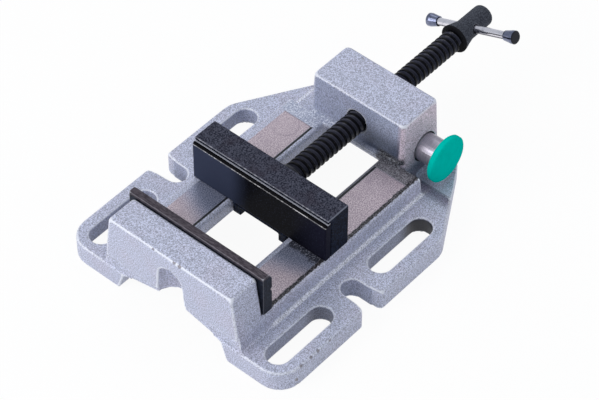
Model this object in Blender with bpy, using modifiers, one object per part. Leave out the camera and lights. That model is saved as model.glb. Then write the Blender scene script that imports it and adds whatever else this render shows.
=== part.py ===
# Quick release drill press vise, 100 mm jaws.
# X runs from the fixed jaw to the tommy bar, Y to the left, Z up.
# Every length is in metres. Stations along X are counted from the front face of the casting,
# and the datum empty moves them all so that the origin is under the middle of the vise.

import math

import bmesh
import bpy
from mathutils import Vector

MM = 0.001

# Driving dimensions: the casting
FLANGE_WIDTH = 165.0 * MM
FLANGE_THICK = 14.6 * MM
FLANGE_CORNER = 15.0 * MM
FLANGE_EDGE = 1.2 * MM
TAPER_START = 140.0 * MM
TAIL_WIDTH = 100.2 * MM
RAIL_TOP = 26.6 * MM
RAIL_WIDTH = 99.6 * MM
RAIL_DRAFT = 1.4 * MM
RAIL_FILLET = 2.4 * MM
RAIL_EDGE = 1.0 * MM
LIP_THICK = 9.8 * MM
WELL_WIDTH = 42.0 * MM
WELL_CLEARANCE = 2.4 * MM
WELL_EDGE = 3.0 * MM
WELL_SILL = 2.4 * MM
WELL_SLOPE = 16.5 * MM
WELL_SLOPE_TOP = 2.1 * MM
CHANNEL_WIDTH = 82.0 * MM
CHANNEL_DRAFT = 4.2 * MM
CHANNEL_SPRING = 13.0 * MM
CHANNEL_CROWN = 19.0 * MM
CHANNEL_REAR = 6.5 * MM
KEEPER_PLAY = 3.0 * MM

# Driving dimensions: the fixed jaw block and the screw housing
JAW_BLOCK_TOP = 55.1 * MM
JAW_BLOCK_DEPTH = 21.2 * MM
JAW_BLOCK_WIDTH = 92.0 * MM
CORE_WIDTH = 21.0 * MM
CORE_TOP = 45.0 * MM
CORE_DEPTH = 11.5 * MM
CORE_SETBACK = 1.0 * MM
CORE_STEPS = (0.0, 0.35, 0.6, 0.8, 0.92, 1.0)
CORE_TAPER = 0.2
HOUSING_FRONT = 161.1 * MM
HOUSING_LENGTH = 31.7 * MM
HOUSING_WIDTH = 69.2 * MM
HOUSING_TOP = 55.8 * MM
HOUSING_DRAFT = 2.2 * MM
HOUSING_FILLET = 6.0 * MM
FOOT_STEP = 0.3 * MM
BLOCK_CORNER = 3.0 * MM
BLOCK_EDGE = 1.6 * MM

# Driving dimensions: the clamping slots and side notches of the flange
SLOT_WIDTH = 14.2 * MM
SLOT_OFFSET = 67.2 * MM
SLOT_TRAVEL = 36.0 * MM
FRONT_SLOT_START = 14.1 * MM
REAR_SLOT_START = 102.2 * MM
SLOT_EDGE = 0.8 * MM
SLOT_RELIEF = 2.6 * MM
RELIEF_DEPTH = 3.0 * MM
NOTCH_STATION = 77.3 * MM
NOTCH_WIDTH = 13.0 * MM
NOTCH_MOUTH = 18.5 * MM
NOTCH_FLARE_STEPS = (0.35, 0.6, 0.8, 0.93, 1.0)

# Driving dimensions: the jaws
JAW_WIDTH = 100.0 * MM
FIXED_PLATE_THICK = 7.7 * MM
MOVING_PLATE_THICK = 4.6 * MM
FIXED_PLATE_TOP = 57.0 * MM
MOVING_PLATE_TOP = 55.4 * MM
FIXED_BEVEL = 3.0 * MM
FIXED_BEVEL_DROP = 4.6 * MM
MOVING_BEVEL = 1.4 * MM
PLATE_EDGE = 0.5 * MM
VEE_DEPTH = 1.8 * MM
VEE_HEIGHT = 43.4 * MM
JAW_OPENING = 44.7 * MM
JAW_OPENING_MAX = 100.0 * MM
MOVING_JAW_TOP = 58.2 * MM
MOVING_JAW_DEPTH = 19.7 * MM
LEDGE = 2.2 * MM
JAW_EDGE = 0.8 * MM
LUG_THICK = 6.0 * MM
LUG_DROP = 8.2 * MM
TOE_DROP = 2.3 * MM
SADDLE_LENGTH = 14.0 * MM
SADDLE_OVERHANG = 5.0 * MM
KEEPER_THICK = 3.0 * MM
KEEPER_WIDTH = 58.0 * MM
BOSS_LENGTH = 7.0 * MM
BOSS_DIAMETER = 18.0 * MM
BOSS_EDGE = 1.0 * MM
WEB_SHARE = 0.75

# Driving dimensions: screw, handle and release button
SCREW_HEIGHT = 39.4 * MM
SCREW_DIAMETER = 14.0 * MM
THREAD_CHAMFER = 1.0 * MM
JOURNAL_DIAMETER = 9.0 * MM
JOURNAL_DEPTH = 13.0 * MM
CLIP_THICK = 2.0 * MM
CLIP_SETBACK = 3.0 * MM
CLIP_REACH = 2.5 * MM
CLIP_SHORT = 2.0 * MM
GROOVE_DIAMETER = 6.4 * MM
WASHER_THICK = 1.6 * MM
WASHER_DIAMETER = 16.0 * MM
HEAD_START = 251.0 * MM
HEAD_LENGTH = 30.5 * MM
HEAD_DIAMETER = 14.2 * MM
COLLAR_DIAMETER = 19.4 * MM
COLLAR_LENGTH = 10.6 * MM
HEAD_SOCKET = 9.0 * MM
HEAD_CROWN = 2.6 * MM
BAR_STATION = 14.0 * MM
BAR_DIAMETER = 5.0 * MM
BAR_LENGTH = 69.4 * MM
BAR_TILT = math.radians(-21.3)
BAR_OFFSET = 3.3 * MM
CAP_DIAMETER = 8.4 * MM
CAP_LENGTH = 2.4 * MM
CAP_TAPER = 5.6 * MM
CAP_SOCKET = 4.0 * MM
CAP_WALL = 0.7 * MM
PLUNGER_DIAMETER = 18.0 * MM
PLUNGER_SETBACK = 12.8 * MM
PLUNGER_HEIGHT = 27.5 * MM
PLUNGER_INNER = 17.0 * MM
PLUNGER_STROKE = 6.0 * MM
PLUNGER_EDGE = 0.8 * MM
BUTTON_STANDOFF = 12.7 * MM
BUTTON_DIAMETER = 30.4 * MM
BUTTON_THICK = 5.6 * MM
BUTTON_RIM = 3.4 * MM
DRAFT_AT_PLUNGER = 0.7
SCOOP_DIAMETER = 37.0 * MM
SCOOP_STANDOFF = 1.1 * MM
SCOOP_EDGE = 3.0 * MM
SPIGOT_DIAMETER = 10.0 * MM
SPIGOT_LENGTH = 3.6 * MM
SPRING_DIAMETER = 12.0 * MM
SPRING_WIRE = 1.4 * MM
SPRING_TURNS = 6
SPRING_POCKET = 9.0 * MM
SPRING_ROOM = 13.0 * MM

# Fasteners
PLATE_SCREW = 6.0 * MM
PLATE_SCREW_HEAD = 11.0 * MM
PLATE_SCREW_SPREAD = 60.0 * MM
PLATE_SCREW_LENGTH = 16.0 * MM
PLATE_SCREW_HEIGHT = 34.4 * MM
CAP_SCREW = 5.0 * MM
CAP_SCREW_HEAD = 8.5 * MM
CAP_SCREW_SINK = 5.6 * MM
CAP_SCREW_COVER = 1.6 * MM
KEEPER_SCREW = 4.0 * MM
KEEPER_SCREW_HEAD = 7.6 * MM
KEEPER_SCREW_LENGTH = 11.0 * MM
KEEPER_SCREW_SPREAD = 30.0 * MM
KEEPER_HEX_SHARE = 0.4
KEEPER_HEX_SINK = 0.22
HEX_SHARE = 0.5
HEX_SINK = 0.45
HEAD_LAND = 0.4 * MM

# Clearances
SEAT = 0.3 * MM
RUNNING = 0.3 * MM
BREAK = 0.6 * MM
OVERLAP = 1.0 * MM
OVERCUT = 4.0 * MM

# What follows from the sizes above
LENGTH = HEAD_START + HEAD_LENGTH
HOUSING_REAR = HOUSING_FRONT + HOUSING_LENGTH
TAIL = HOUSING_REAR + HOUSING_DRAFT
LIP_UNDER = RAIL_TOP - LIP_THICK
PLATE_BOTTOM = RAIL_TOP + SEAT
FIXED_PLATE_BACK = JAW_BLOCK_DEPTH + SEAT
FIXED_FACE = FIXED_PLATE_BACK + FIXED_PLATE_THICK
MOVING_FACE = FIXED_FACE + JAW_OPENING
MOVING_PLATE_BACK = MOVING_FACE + MOVING_PLATE_THICK
JAW_BODY_FRONT = MOVING_FACE + LEDGE
JAW_BODY_BACK = MOVING_FACE + MOVING_JAW_DEPTH
BOSS_FACE = JAW_BODY_BACK + BOSS_LENGTH
SHOULDER = BOSS_FACE + WASHER_THICK + 2 * SEAT
SADDLE_BACK = JAW_BODY_BACK + SADDLE_OVERHANG
SADDLE_FRONT = SADDLE_BACK - SADDLE_LENGTH
SADDLE_UNDER = LIP_UNDER - SEAT
CLIP_STATION = BOSS_FACE - CLIP_SETBACK
WELL_REAR = SADDLE_BACK + JAW_OPENING_MAX - JAW_OPENING + WELL_CLEARANCE
GUIDE_HALF = KEEPER_WIDTH / 2 + KEEPER_PLAY
PLUNGER_STATION = HOUSING_REAR - PLUNGER_SETBACK
BORE_END = PLUNGER_INNER + SPRING_ROOM
SIDE_AT_PLUNGER = HOUSING_WIDTH / 2 + HOUSING_DRAFT * DRAFT_AT_PLUNGER
BUTTON_BACK = SIDE_AT_PLUNGER + BUTTON_STANDOFF

parts = None
guides = None
datum = None


def clear_scene():
    for item in list(bpy.data.objects):
        bpy.data.objects.remove(item, do_unlink=True)


def new_collection(name):
    collection = bpy.data.collections.new(name)
    bpy.context.scene.collection.children.link(collection)
    return collection


def new_empty(name, location=(0, 0, 0), parent=None, rotation=(0, 0, 0)):
    empty = bpy.data.objects.new(name, None)
    parts.objects.link(empty)
    empty.parent = parent
    empty.location = location
    empty.rotation_euler = rotation
    return empty


def finish_material(name, color, roughness, metallic):
    material = bpy.data.materials.new(name)
    material.use_nodes = True
    shader = material.node_tree.nodes["Principled BSDF"]
    shader.inputs["Base Color"].default_value = (*color, 1.0)
    shader.inputs["Roughness"].default_value = roughness
    shader.inputs["Metallic"].default_value = metallic
    material.diffuse_color = (*color, 1.0)
    return material


def mesh_object(name, build, collection=None):
    mesh = bpy.data.meshes.new(name)
    work = bmesh.new()
    build(work)
    bmesh.ops.recalc_face_normals(work, faces=work.faces)
    work.to_mesh(mesh)
    work.free()
    item = bpy.data.objects.new(name, mesh)
    (collection or parts).objects.link(item)
    return item


def hide_guide(item):
    item.hide_render = True
    item.display_type = "WIRE"
    return item


def skin_rings(work, rings):
    """Join closed rings of points, lowest first, and cap both ends."""
    loops = [[work.verts.new(point) for point in ring] for ring in rings]
    count = len(loops[0])
    for below, above in zip(loops, loops[1:]):
        for i in range(count):
            j = (i + 1) % count
            work.faces.new((below[i], below[j], above[j], above[i]))
    work.faces.new(list(reversed(loops[0])))
    work.faces.new(loops[-1])


def rounded_rectangle(x0, x1, half_width, corner, steps=4):
    """Points of a rounded rectangle seen from above, anticlockwise."""
    points = []
    corners = (
        (x1 - corner, half_width - corner, 0.0),
        (x0 + corner, half_width - corner, 90.0),
        (x0 + corner, corner - half_width, 180.0),
        (x1 - corner, corner - half_width, 270.0),
    )
    for cx, cy, start in corners:
        for step in range(steps + 1):
            angle = math.radians(start + 90.0 * step / steps)
            points.append((cx + corner * math.cos(angle), cy + corner * math.sin(angle)))
    return points


def drafted_block(name, levels, collection=None):
    """A cast block lofted through rounded rectangles: (height, x0, x1, half width, corner)."""

    def build(work):
        rings = []
        for height, x0, x1, half_width, corner in levels:
            flat = rounded_rectangle(x0, x1, half_width, corner)
            rings.append([Vector((x, y, height)) for x, y in flat])
        skin_rings(work, rings)

    return mesh_object(name, build, collection)


def top_rounding(top, edge, steps=3):
    """Heights and insets that round off the top edge of a block."""
    angles = [math.radians(90.0 * step / steps) for step in range(steps + 1)]
    return [(top - edge + edge * math.sin(a), edge - edge * math.cos(a)) for a in angles]


def extruded(name, outline, axis, start, end, collection=None):
    """A straight prism: the outline lies across the named axis."""

    def place(u, v, w):
        return Vector({"X": (w, u, v), "Y": (u, w, v), "Z": (u, v, w)}[axis])

    def build(work):
        skin_rings(work, [[place(u, v, w) for u, v in outline] for w in (start, end)])

    return mesh_object(name, build, collection)


def box(name, low, high, collection=None):
    low = Vector(low)
    size = Vector(high) - low

    def build(work):
        bmesh.ops.create_cube(work, size=1.0)
        bmesh.ops.scale(work, vec=size, verts=work.verts)
        bmesh.ops.translate(work, vec=low + size / 2, verts=work.verts)

    return mesh_object(name, build, collection)


def turned(name, profile, axis, location, segments=32, collection=None):
    """A turned piece: a profile of (radius, distance) pairs spun about the axis by Screw."""
    mesh = bpy.data.meshes.new(name)
    points = [(radius, 0.0, distance) for radius, distance in reversed(profile)]
    edges = [(i, i + 1) for i in range(len(points) - 1)]
    mesh.from_pydata(points, edges, [])
    item = bpy.data.objects.new(name, mesh)
    (collection or parts).objects.link(item)
    screw = item.modifiers.new("turn", "SCREW")
    screw.axis = "Z"
    screw.steps = segments
    screw.render_steps = segments
    screw.use_merge_vertices = True
    screw.merge_threshold = 0.00002
    screw.use_smooth_shade = True
    item.rotation_euler = {
        "X": (0, math.pi / 2, 0),
        "Y": (-math.pi / 2, 0, 0),
        "-Y": (math.pi / 2, 0, 0),
        "Z": (0, 0, 0),
        "-Z": (math.pi, 0, 0),
        "-X": (0, -math.pi / 2, 0),
    }[axis]
    item.location = location
    return item


def rod(name, diameter, start, end, axis, location, segments=32, collection=None):
    radius = diameter / 2
    profile = [(0, start), (radius, start), (radius, end), (0, end)]
    return turned(name, profile, axis, location, segments, collection)


def stadium(x0, x1, y, width, steps=8):
    """Outline of a slot whose end arcs are centred at x0 and x1."""
    radius = width / 2
    points = []
    for centre, start in ((x1, -90.0), (x0, 90.0)):
        for step in range(steps + 1):
            angle = math.radians(start + 180.0 * step / steps)
            points.append((centre + radius * math.cos(angle), y + radius * math.sin(angle)))
    return points


def combine(target, tools, operation):
    for tool in tools:
        change = target.modifiers.new(tool.name, "BOOLEAN")
        change.operation = operation
        change.solver = "EXACT"
        change.object = tool
        hide_guide(tool)


def cut(target, *tools):
    combine(target, tools, "DIFFERENCE")


def join(target, *tools):
    combine(target, tools, "UNION")


def attach(item, parent, material=None):
    item.parent = parent
    if material:
        item.data.materials.append(material)
    return item


def guide(item):
    """A cutter or a shape to be joined, placed in the casting's own frame."""
    item.parent = datum
    return item


def flange_outline(inset):
    """Half outline of the flange from the front to the tail, then its mirror image."""
    half = FLANGE_WIDTH / 2 - inset
    radius = FLANGE_CORNER - inset
    tail_half = TAIL_WIDTH / 2 - inset
    slope = math.atan2(FLANGE_WIDTH / 2 - TAIL_WIDTH / 2, TAIL - TAPER_START)
    points = []
    for step in range(7):
        angle = math.radians(180.0 - 90.0 * step / 6)
        centre = (FLANGE_CORNER, FLANGE_WIDTH / 2 - FLANGE_CORNER)
        points.append((centre[0] + radius * math.cos(angle), centre[1] + radius * math.sin(angle)))
    setback = FLANGE_CORNER * math.tan(slope / 2)
    for step in range(4):
        angle = math.pi / 2 - slope * step / 3
        centre = (TAPER_START - setback, FLANGE_WIDTH / 2 - FLANGE_CORNER)
        points.append((centre[0] + radius * math.cos(angle), centre[1] + radius * math.sin(angle)))
    corner = BLOCK_CORNER
    points.append((TAIL - corner - inset, tail_half + corner * math.tan(slope)))
    points.append((TAIL - inset, tail_half - corner))
    mirrored = [(x, -y) for x, y in reversed(points)]
    return list(reversed(points + mirrored))


def through_cutter(name, outline, levels):
    """A cutter lofted upwards through an outline that grows or shrinks: (height, growth) pairs."""

    def build(work):
        rings = []
        for height, growth in levels:
            rings.append([Vector((x, y, height)) for x, y in outline(growth)])
        skin_rings(work, rings)

    return guide(mesh_object(name, build, guides))


def notch_outline(side, growth):
    """A side notch: a round end at the slot line and a mouth that flares to the edge."""
    radius = NOTCH_WIDTH / 2 + growth
    edge = FLANGE_WIDTH / 2
    flare = (NOTCH_MOUTH - NOTCH_WIDTH) / 2
    points = []
    for step in range(13):
        angle = math.radians(180.0 + 180.0 * step / 12)
        x = NOTCH_STATION + radius * math.cos(angle)
        points.append((x, SLOT_OFFSET + radius * math.sin(angle)))
    reach = edge - SLOT_OFFSET
    for share in NOTCH_FLARE_STEPS:
        bulge = 1.0 - math.sqrt(max(0.0, 1.0 - share * share))
        points.append((NOTCH_STATION + radius + flare * bulge, SLOT_OFFSET + reach * share))
    points.append((NOTCH_STATION + radius + flare, edge + OVERCUT))
    points.append((NOTCH_STATION - radius - flare, edge + OVERCUT))
    for share in reversed(NOTCH_FLARE_STEPS):
        bulge = 1.0 - math.sqrt(max(0.0, 1.0 - share * share))
        points.append((NOTCH_STATION - radius - flare * bulge, SLOT_OFFSET + reach * share))
    if side > 0:
        return points
    return [(x, -y) for x, y in reversed(points)]


def housing_levels():
    """The screw housing: rounded top, drafted walls and a concave fillet to the flange."""
    levels = []
    low = FLANGE_THICK
    span = HOUSING_TOP - low
    levels.append((low - OVERCUT, HOUSING_FILLET + HOUSING_DRAFT))
    for step in range(6):
        angle = math.radians(90.0 * step / 5)
        flare = HOUSING_FILLET * (1.0 - math.sin(angle))
        height = low + HOUSING_FILLET * (1.0 - math.cos(angle))
        draft = HOUSING_DRAFT * (HOUSING_TOP - height) / span
        levels.append((height, flare + draft))
    for height, inset in top_rounding(HOUSING_TOP, BLOCK_EDGE):
        levels.append((height, -inset))
    rings = []
    for height, grow in levels:
        front = HOUSING_FRONT - min(grow, HOUSING_DRAFT + FOOT_STEP)
        rear = HOUSING_REAR + min(grow, HOUSING_DRAFT - FOOT_STEP)
        corner = BLOCK_CORNER + max(grow, -BLOCK_EDGE / 2)
        rings.append((height, front, rear, HOUSING_WIDTH / 2 + grow, corner))
    return rings


def jaw_block_levels():
    """The fixed jaw block: upright front, drafted ends, rounded top edges."""
    draft = (RAIL_WIDTH - JAW_BLOCK_WIDTH) / 2
    rings = [(RAIL_TOP - OVERCUT, 0.0, JAW_BLOCK_DEPTH, RAIL_WIDTH / 2, BLOCK_EDGE)]
    rings.append((RAIL_TOP, 0.0, JAW_BLOCK_DEPTH, RAIL_WIDTH / 2, BLOCK_EDGE))
    for height, inset in top_rounding(JAW_BLOCK_TOP, BLOCK_EDGE):
        share = (JAW_BLOCK_TOP - height) / (JAW_BLOCK_TOP - RAIL_TOP)
        half = JAW_BLOCK_WIDTH / 2 + draft * share - inset
        rings.append((height, inset, JAW_BLOCK_DEPTH - inset, half, BLOCK_EDGE))
    return rings


def well_profile():
    """Section of the well between the rails: upright walls that round over into the rail tops."""
    half = WELL_WIDTH / 2
    points = [(-half, -OVERCUT), (half, -OVERCUT)]
    for step in range(5):
        angle = math.radians(90.0 * step / 4)
        y = half + WELL_EDGE * (1.0 - math.cos(angle))
        points.append((y, RAIL_TOP - WELL_EDGE + WELL_EDGE * math.sin(angle)))
    points.append((half + WELL_EDGE, RAIL_TOP + OVERCUT))
    mirrored = [(-y, z) for y, z in reversed(points[2:])]
    return points + mirrored


def build_casting(paint):
    outlines = (
        (0.0, FLANGE_EDGE / 2),
        (FLANGE_EDGE / 2, 0.0),
        (FLANGE_THICK - FLANGE_EDGE, 0.0),
        (FLANGE_THICK - FLANGE_EDGE / 3, FLANGE_EDGE / 3),
        (FLANGE_THICK, FLANGE_EDGE),
    )

    def build_flange(work):
        rings = []
        for height, inset in outlines:
            rings.append([Vector((x, y, height)) for x, y in flange_outline(inset)])
        skin_rings(work, rings)

    casting = mesh_object("base_casting", build_flange)
    attach(casting, datum, paint)

    half = RAIL_WIDTH / 2
    foot = half + RAIL_DRAFT
    side = [(foot + RAIL_FILLET, FLANGE_THICK - RAIL_FILLET)]
    for step in range(4):
        angle = math.radians(5.0 + 85.0 * step / 3)
        y = foot + RAIL_FILLET * (1.0 - math.sin(angle))
        side.append((y, FLANGE_THICK + RAIL_FILLET * (1.0 - math.cos(angle))))
    side.append((half + RAIL_EDGE / 3, RAIL_TOP - RAIL_EDGE))
    side.append((half - RAIL_EDGE * 2 / 3, RAIL_TOP))
    rail_profile = side + [(-y, z) for y, z in reversed(side)]
    rail_end = HOUSING_FRONT - HOUSING_DRAFT
    rails = guide(extruded("rails_add", rail_profile, "X", FLANGE_EDGE, rail_end, guides))
    block = guide(drafted_block("jaw_block_add", jaw_block_levels(), guides))
    housing = guide(drafted_block("housing_add", housing_levels(), guides))
    join(casting, rails, block, housing)

    well = guide(extruded("well_cut", well_profile(), "X", JAW_BLOCK_DEPTH, WELL_REAR, guides))
    sill_under = RAIL_TOP - WELL_SILL
    slope = [
        (WELL_REAR - OVERLAP, -OVERCUT),
        (WELL_REAR + WELL_SLOPE, -OVERCUT),
        (WELL_REAR + WELL_SLOPE, 0.0),
        (WELL_REAR + WELL_SLOPE_TOP, sill_under),
        (WELL_REAR - OVERLAP, sill_under),
    ]
    ramp_half = WELL_WIDTH / 2 - BREAK
    ramp = guide(extruded("ramp_cut", slope, "Y", -ramp_half, ramp_half, guides))

    channel_half = CHANNEL_WIDTH / 2
    spring_half = channel_half - CHANNEL_DRAFT
    crown_half = CORE_WIDTH / 2
    channel = [
        (-channel_half - CHANNEL_DRAFT / 3, -OVERCUT),
        (channel_half + CHANNEL_DRAFT / 3, -OVERCUT),
        (spring_half, CHANNEL_SPRING),
        (crown_half, CHANNEL_CROWN),
        (-crown_half, CHANNEL_CROWN),
        (-spring_half, CHANNEL_SPRING),
    ]
    front_channel = guide(extruded("channel_cut", channel, "X", -OVERCUT, WELL_REAR, guides))
    rear_channel = [
        (-channel_half - CHANNEL_DRAFT / 3, -OVERCUT),
        (channel_half + CHANNEL_DRAFT / 3, -OVERCUT),
        (spring_half, CHANNEL_REAR),
        (-spring_half, CHANNEL_REAR),
    ]
    tail_channel = extruded("tail_cut", rear_channel, "X", WELL_REAR - OVERLAP, TAIL + OVERCUT, guides)
    guide(tail_channel)

    guide_low = (JAW_BLOCK_DEPTH + RUNNING, -GUIDE_HALF, CHANNEL_SPRING - OVERLAP)
    way = guide(box("way_cut", guide_low, (WELL_REAR, GUIDE_HALF, LIP_UNDER), guides))
    cut(casting, well, ramp, front_channel, tail_channel, way)

    rim = [(FLANGE_THICK - SLOT_EDGE, 0.0), (FLANGE_THICK - SLOT_EDGE / 3, SLOT_EDGE / 3)]
    rim += [(FLANGE_THICK, SLOT_EDGE), (FLANGE_THICK + OVERCUT, SLOT_EDGE)]
    relief = [(-OVERCUT, SLOT_RELIEF), (RELIEF_DEPTH, SLOT_RELIEF), (RELIEF_DEPTH, 0.0)]
    for side in (1, -1):
        name = "left" if side > 0 else "right"
        for end, start in (("front", FRONT_SLOT_START), ("rear", REAR_SLOT_START)):

            def slot(growth, start=start, y=side * SLOT_OFFSET):
                return stadium(start, start + SLOT_TRAVEL, y, SLOT_WIDTH + 2 * growth)

            cut(casting, through_cutter(f"slot_{end}_{name}", slot, relief + rim))

        def notch(growth, side=side):
            return notch_outline(side, growth)

        cut(casting, through_cutter(f"notch_{name}", notch, [(-OVERCUT, 0.0)] + rim))

    core_levels = []
    for share in CORE_STEPS:
        height = CHANNEL_CROWN + (CORE_TOP - CHANNEL_CROWN) * share
        shrink = 1.0 - CORE_TAPER * share if share < 0.7 else math.sqrt(max(0.02, 1.0 - share ** 5))
        core_levels.append((height, shrink))
    core_levels.insert(0, (CHANNEL_CROWN - OVERCUT, 1.0))

    def build_core(work):
        rings = []
        for height, shrink in core_levels:
            half_width = CORE_WIDTH / 2 * shrink
            depth = (CORE_DEPTH + CORE_SETBACK) * shrink
            ring = [Vector((-OVERCUT, -half_width, height))]
            for step in range(9):
                angle = math.radians(-90.0 + 180.0 * step / 8)
                x = depth * math.cos(angle) - CORE_SETBACK
                ring.append(Vector((x, half_width * math.sin(angle), height)))
            ring.append(Vector((-OVERCUT, half_width, height)))
            rings.append(ring)
        skin_rings(work, rings)

    core = guide(mesh_object("core_cut", build_core, guides))
    bore_gap = SCREW_DIAMETER + 2 * RUNNING
    screw_at = (0, 0, SCREW_HEIGHT)
    screw_bore = rod("screw_bore", bore_gap, WELL_REAR, TAIL + OVERCUT, "X", screw_at, 32, guides)
    side_start = -SIDE_AT_PLUNGER - OVERCUT
    plunger_at = (PLUNGER_STATION, 0, PLUNGER_HEIGHT)
    bore = PLUNGER_DIAMETER + 2 * RUNNING
    plunger_bore = rod("plunger_bore", bore, side_start, BORE_END, "Y", plunger_at, 32, guides)
    scoop = SCOOP_DIAMETER / 2
    scoop_start = SIDE_AT_PLUNGER + SCOOP_STANDOFF
    scoop_profile = [(0, scoop_start)]
    for step in range(4):
        angle = math.radians(90.0 * step / 3)
        reach = scoop - SCOOP_EDGE * (1.0 - math.sin(angle))
        scoop_profile.append((reach, scoop_start + SCOOP_EDGE * (1.0 - math.cos(angle))))
    scoop_profile += [(scoop, FLANGE_WIDTH / 2), (0, FLANGE_WIDTH / 2)]
    finger_scoop = turned("finger_scoop", scoop_profile, "-Y", plunger_at, 40, guides)
    cut(casting, core, guide(screw_bore), guide(plunger_bore), guide(finger_scoop))

    for side in (1, -1):
        at = (FIXED_PLATE_BACK, side * PLATE_SCREW_SPREAD / 2, PLATE_SCREW_HEIGHT)
        depth = PLATE_SCREW_LENGTH - FIXED_PLATE_THICK + SEAT
        width = PLATE_SCREW + 2 * SEAT
        hole = rod(f"tapping_{side}", width, -OVERLAP, depth, "-X", at, 20, guides)
        cut(casting, guide(hole))
    return casting


def sunk_profile(screw, head, length, play):
    """Half section of a countersunk screw, or of its hole when play is the clearance all round."""
    radius = screw / 2 + play
    rim = head / 2 + play
    start = -OVERLAP if play else 0.0
    end = length + play
    profile = [(0, start), (rim, start), (rim, HEAD_LAND), (radius, HEAD_LAND + rim - radius)]
    if play:
        return profile + [(radius, end), (0, end)]
    return profile + [(radius, end - BREAK), (radius - BREAK, end), (0, end)]


def hex_socket(name, width, depth, axis, at, parent):
    """Cutter for the hexagon socket of a screw head."""
    socket = rod(name, width, -OVERLAP, depth, axis, at, 6, guides)
    socket.parent = parent
    return socket


def build_fixed_plate(steel, dark):
    half = JAW_WIDTH / 2
    profile = [
        (FIXED_PLATE_BACK, PLATE_BOTTOM),
        (FIXED_FACE, PLATE_BOTTOM),
        (FIXED_FACE, VEE_HEIGHT - VEE_DEPTH),
        (FIXED_FACE - VEE_DEPTH, VEE_HEIGHT),
        (FIXED_FACE, VEE_HEIGHT + VEE_DEPTH),
        (FIXED_FACE, FIXED_PLATE_TOP - FIXED_BEVEL_DROP),
        (FIXED_FACE - FIXED_BEVEL, FIXED_PLATE_TOP),
        (FIXED_PLATE_BACK + PLATE_EDGE, FIXED_PLATE_TOP),
        (FIXED_PLATE_BACK, FIXED_PLATE_TOP - PLATE_EDGE),
    ]
    plate = extruded("fixed_jaw_plate", profile, "Y", -half, half)
    attach(plate, datum, steel)
    size = (PLATE_SCREW, PLATE_SCREW_HEAD)
    for side, name in ((1, "left"), (-1, "right")):
        at = (FIXED_FACE - SEAT, side * PLATE_SCREW_SPREAD / 2, PLATE_SCREW_HEIGHT)
        through = sunk_profile(*size, FIXED_PLATE_THICK + OVERLAP, SEAT)
        cut(plate, guide(turned(f"fixed_sink_{name}", through, "-X", at, 24, guides)))
        body = sunk_profile(*size, PLATE_SCREW_LENGTH, 0.0)
        screw = turned(f"fixed_plate_screw_{name}", body, "-X", at, 24)
        width = PLATE_SCREW_HEAD * HEX_SHARE
        cut(screw, hex_socket(f"fixed_hex_{name}", width, PLATE_SCREW * HEX_SINK, "-X", at, datum))
        attach(screw, datum, dark)
    return plate


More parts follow.
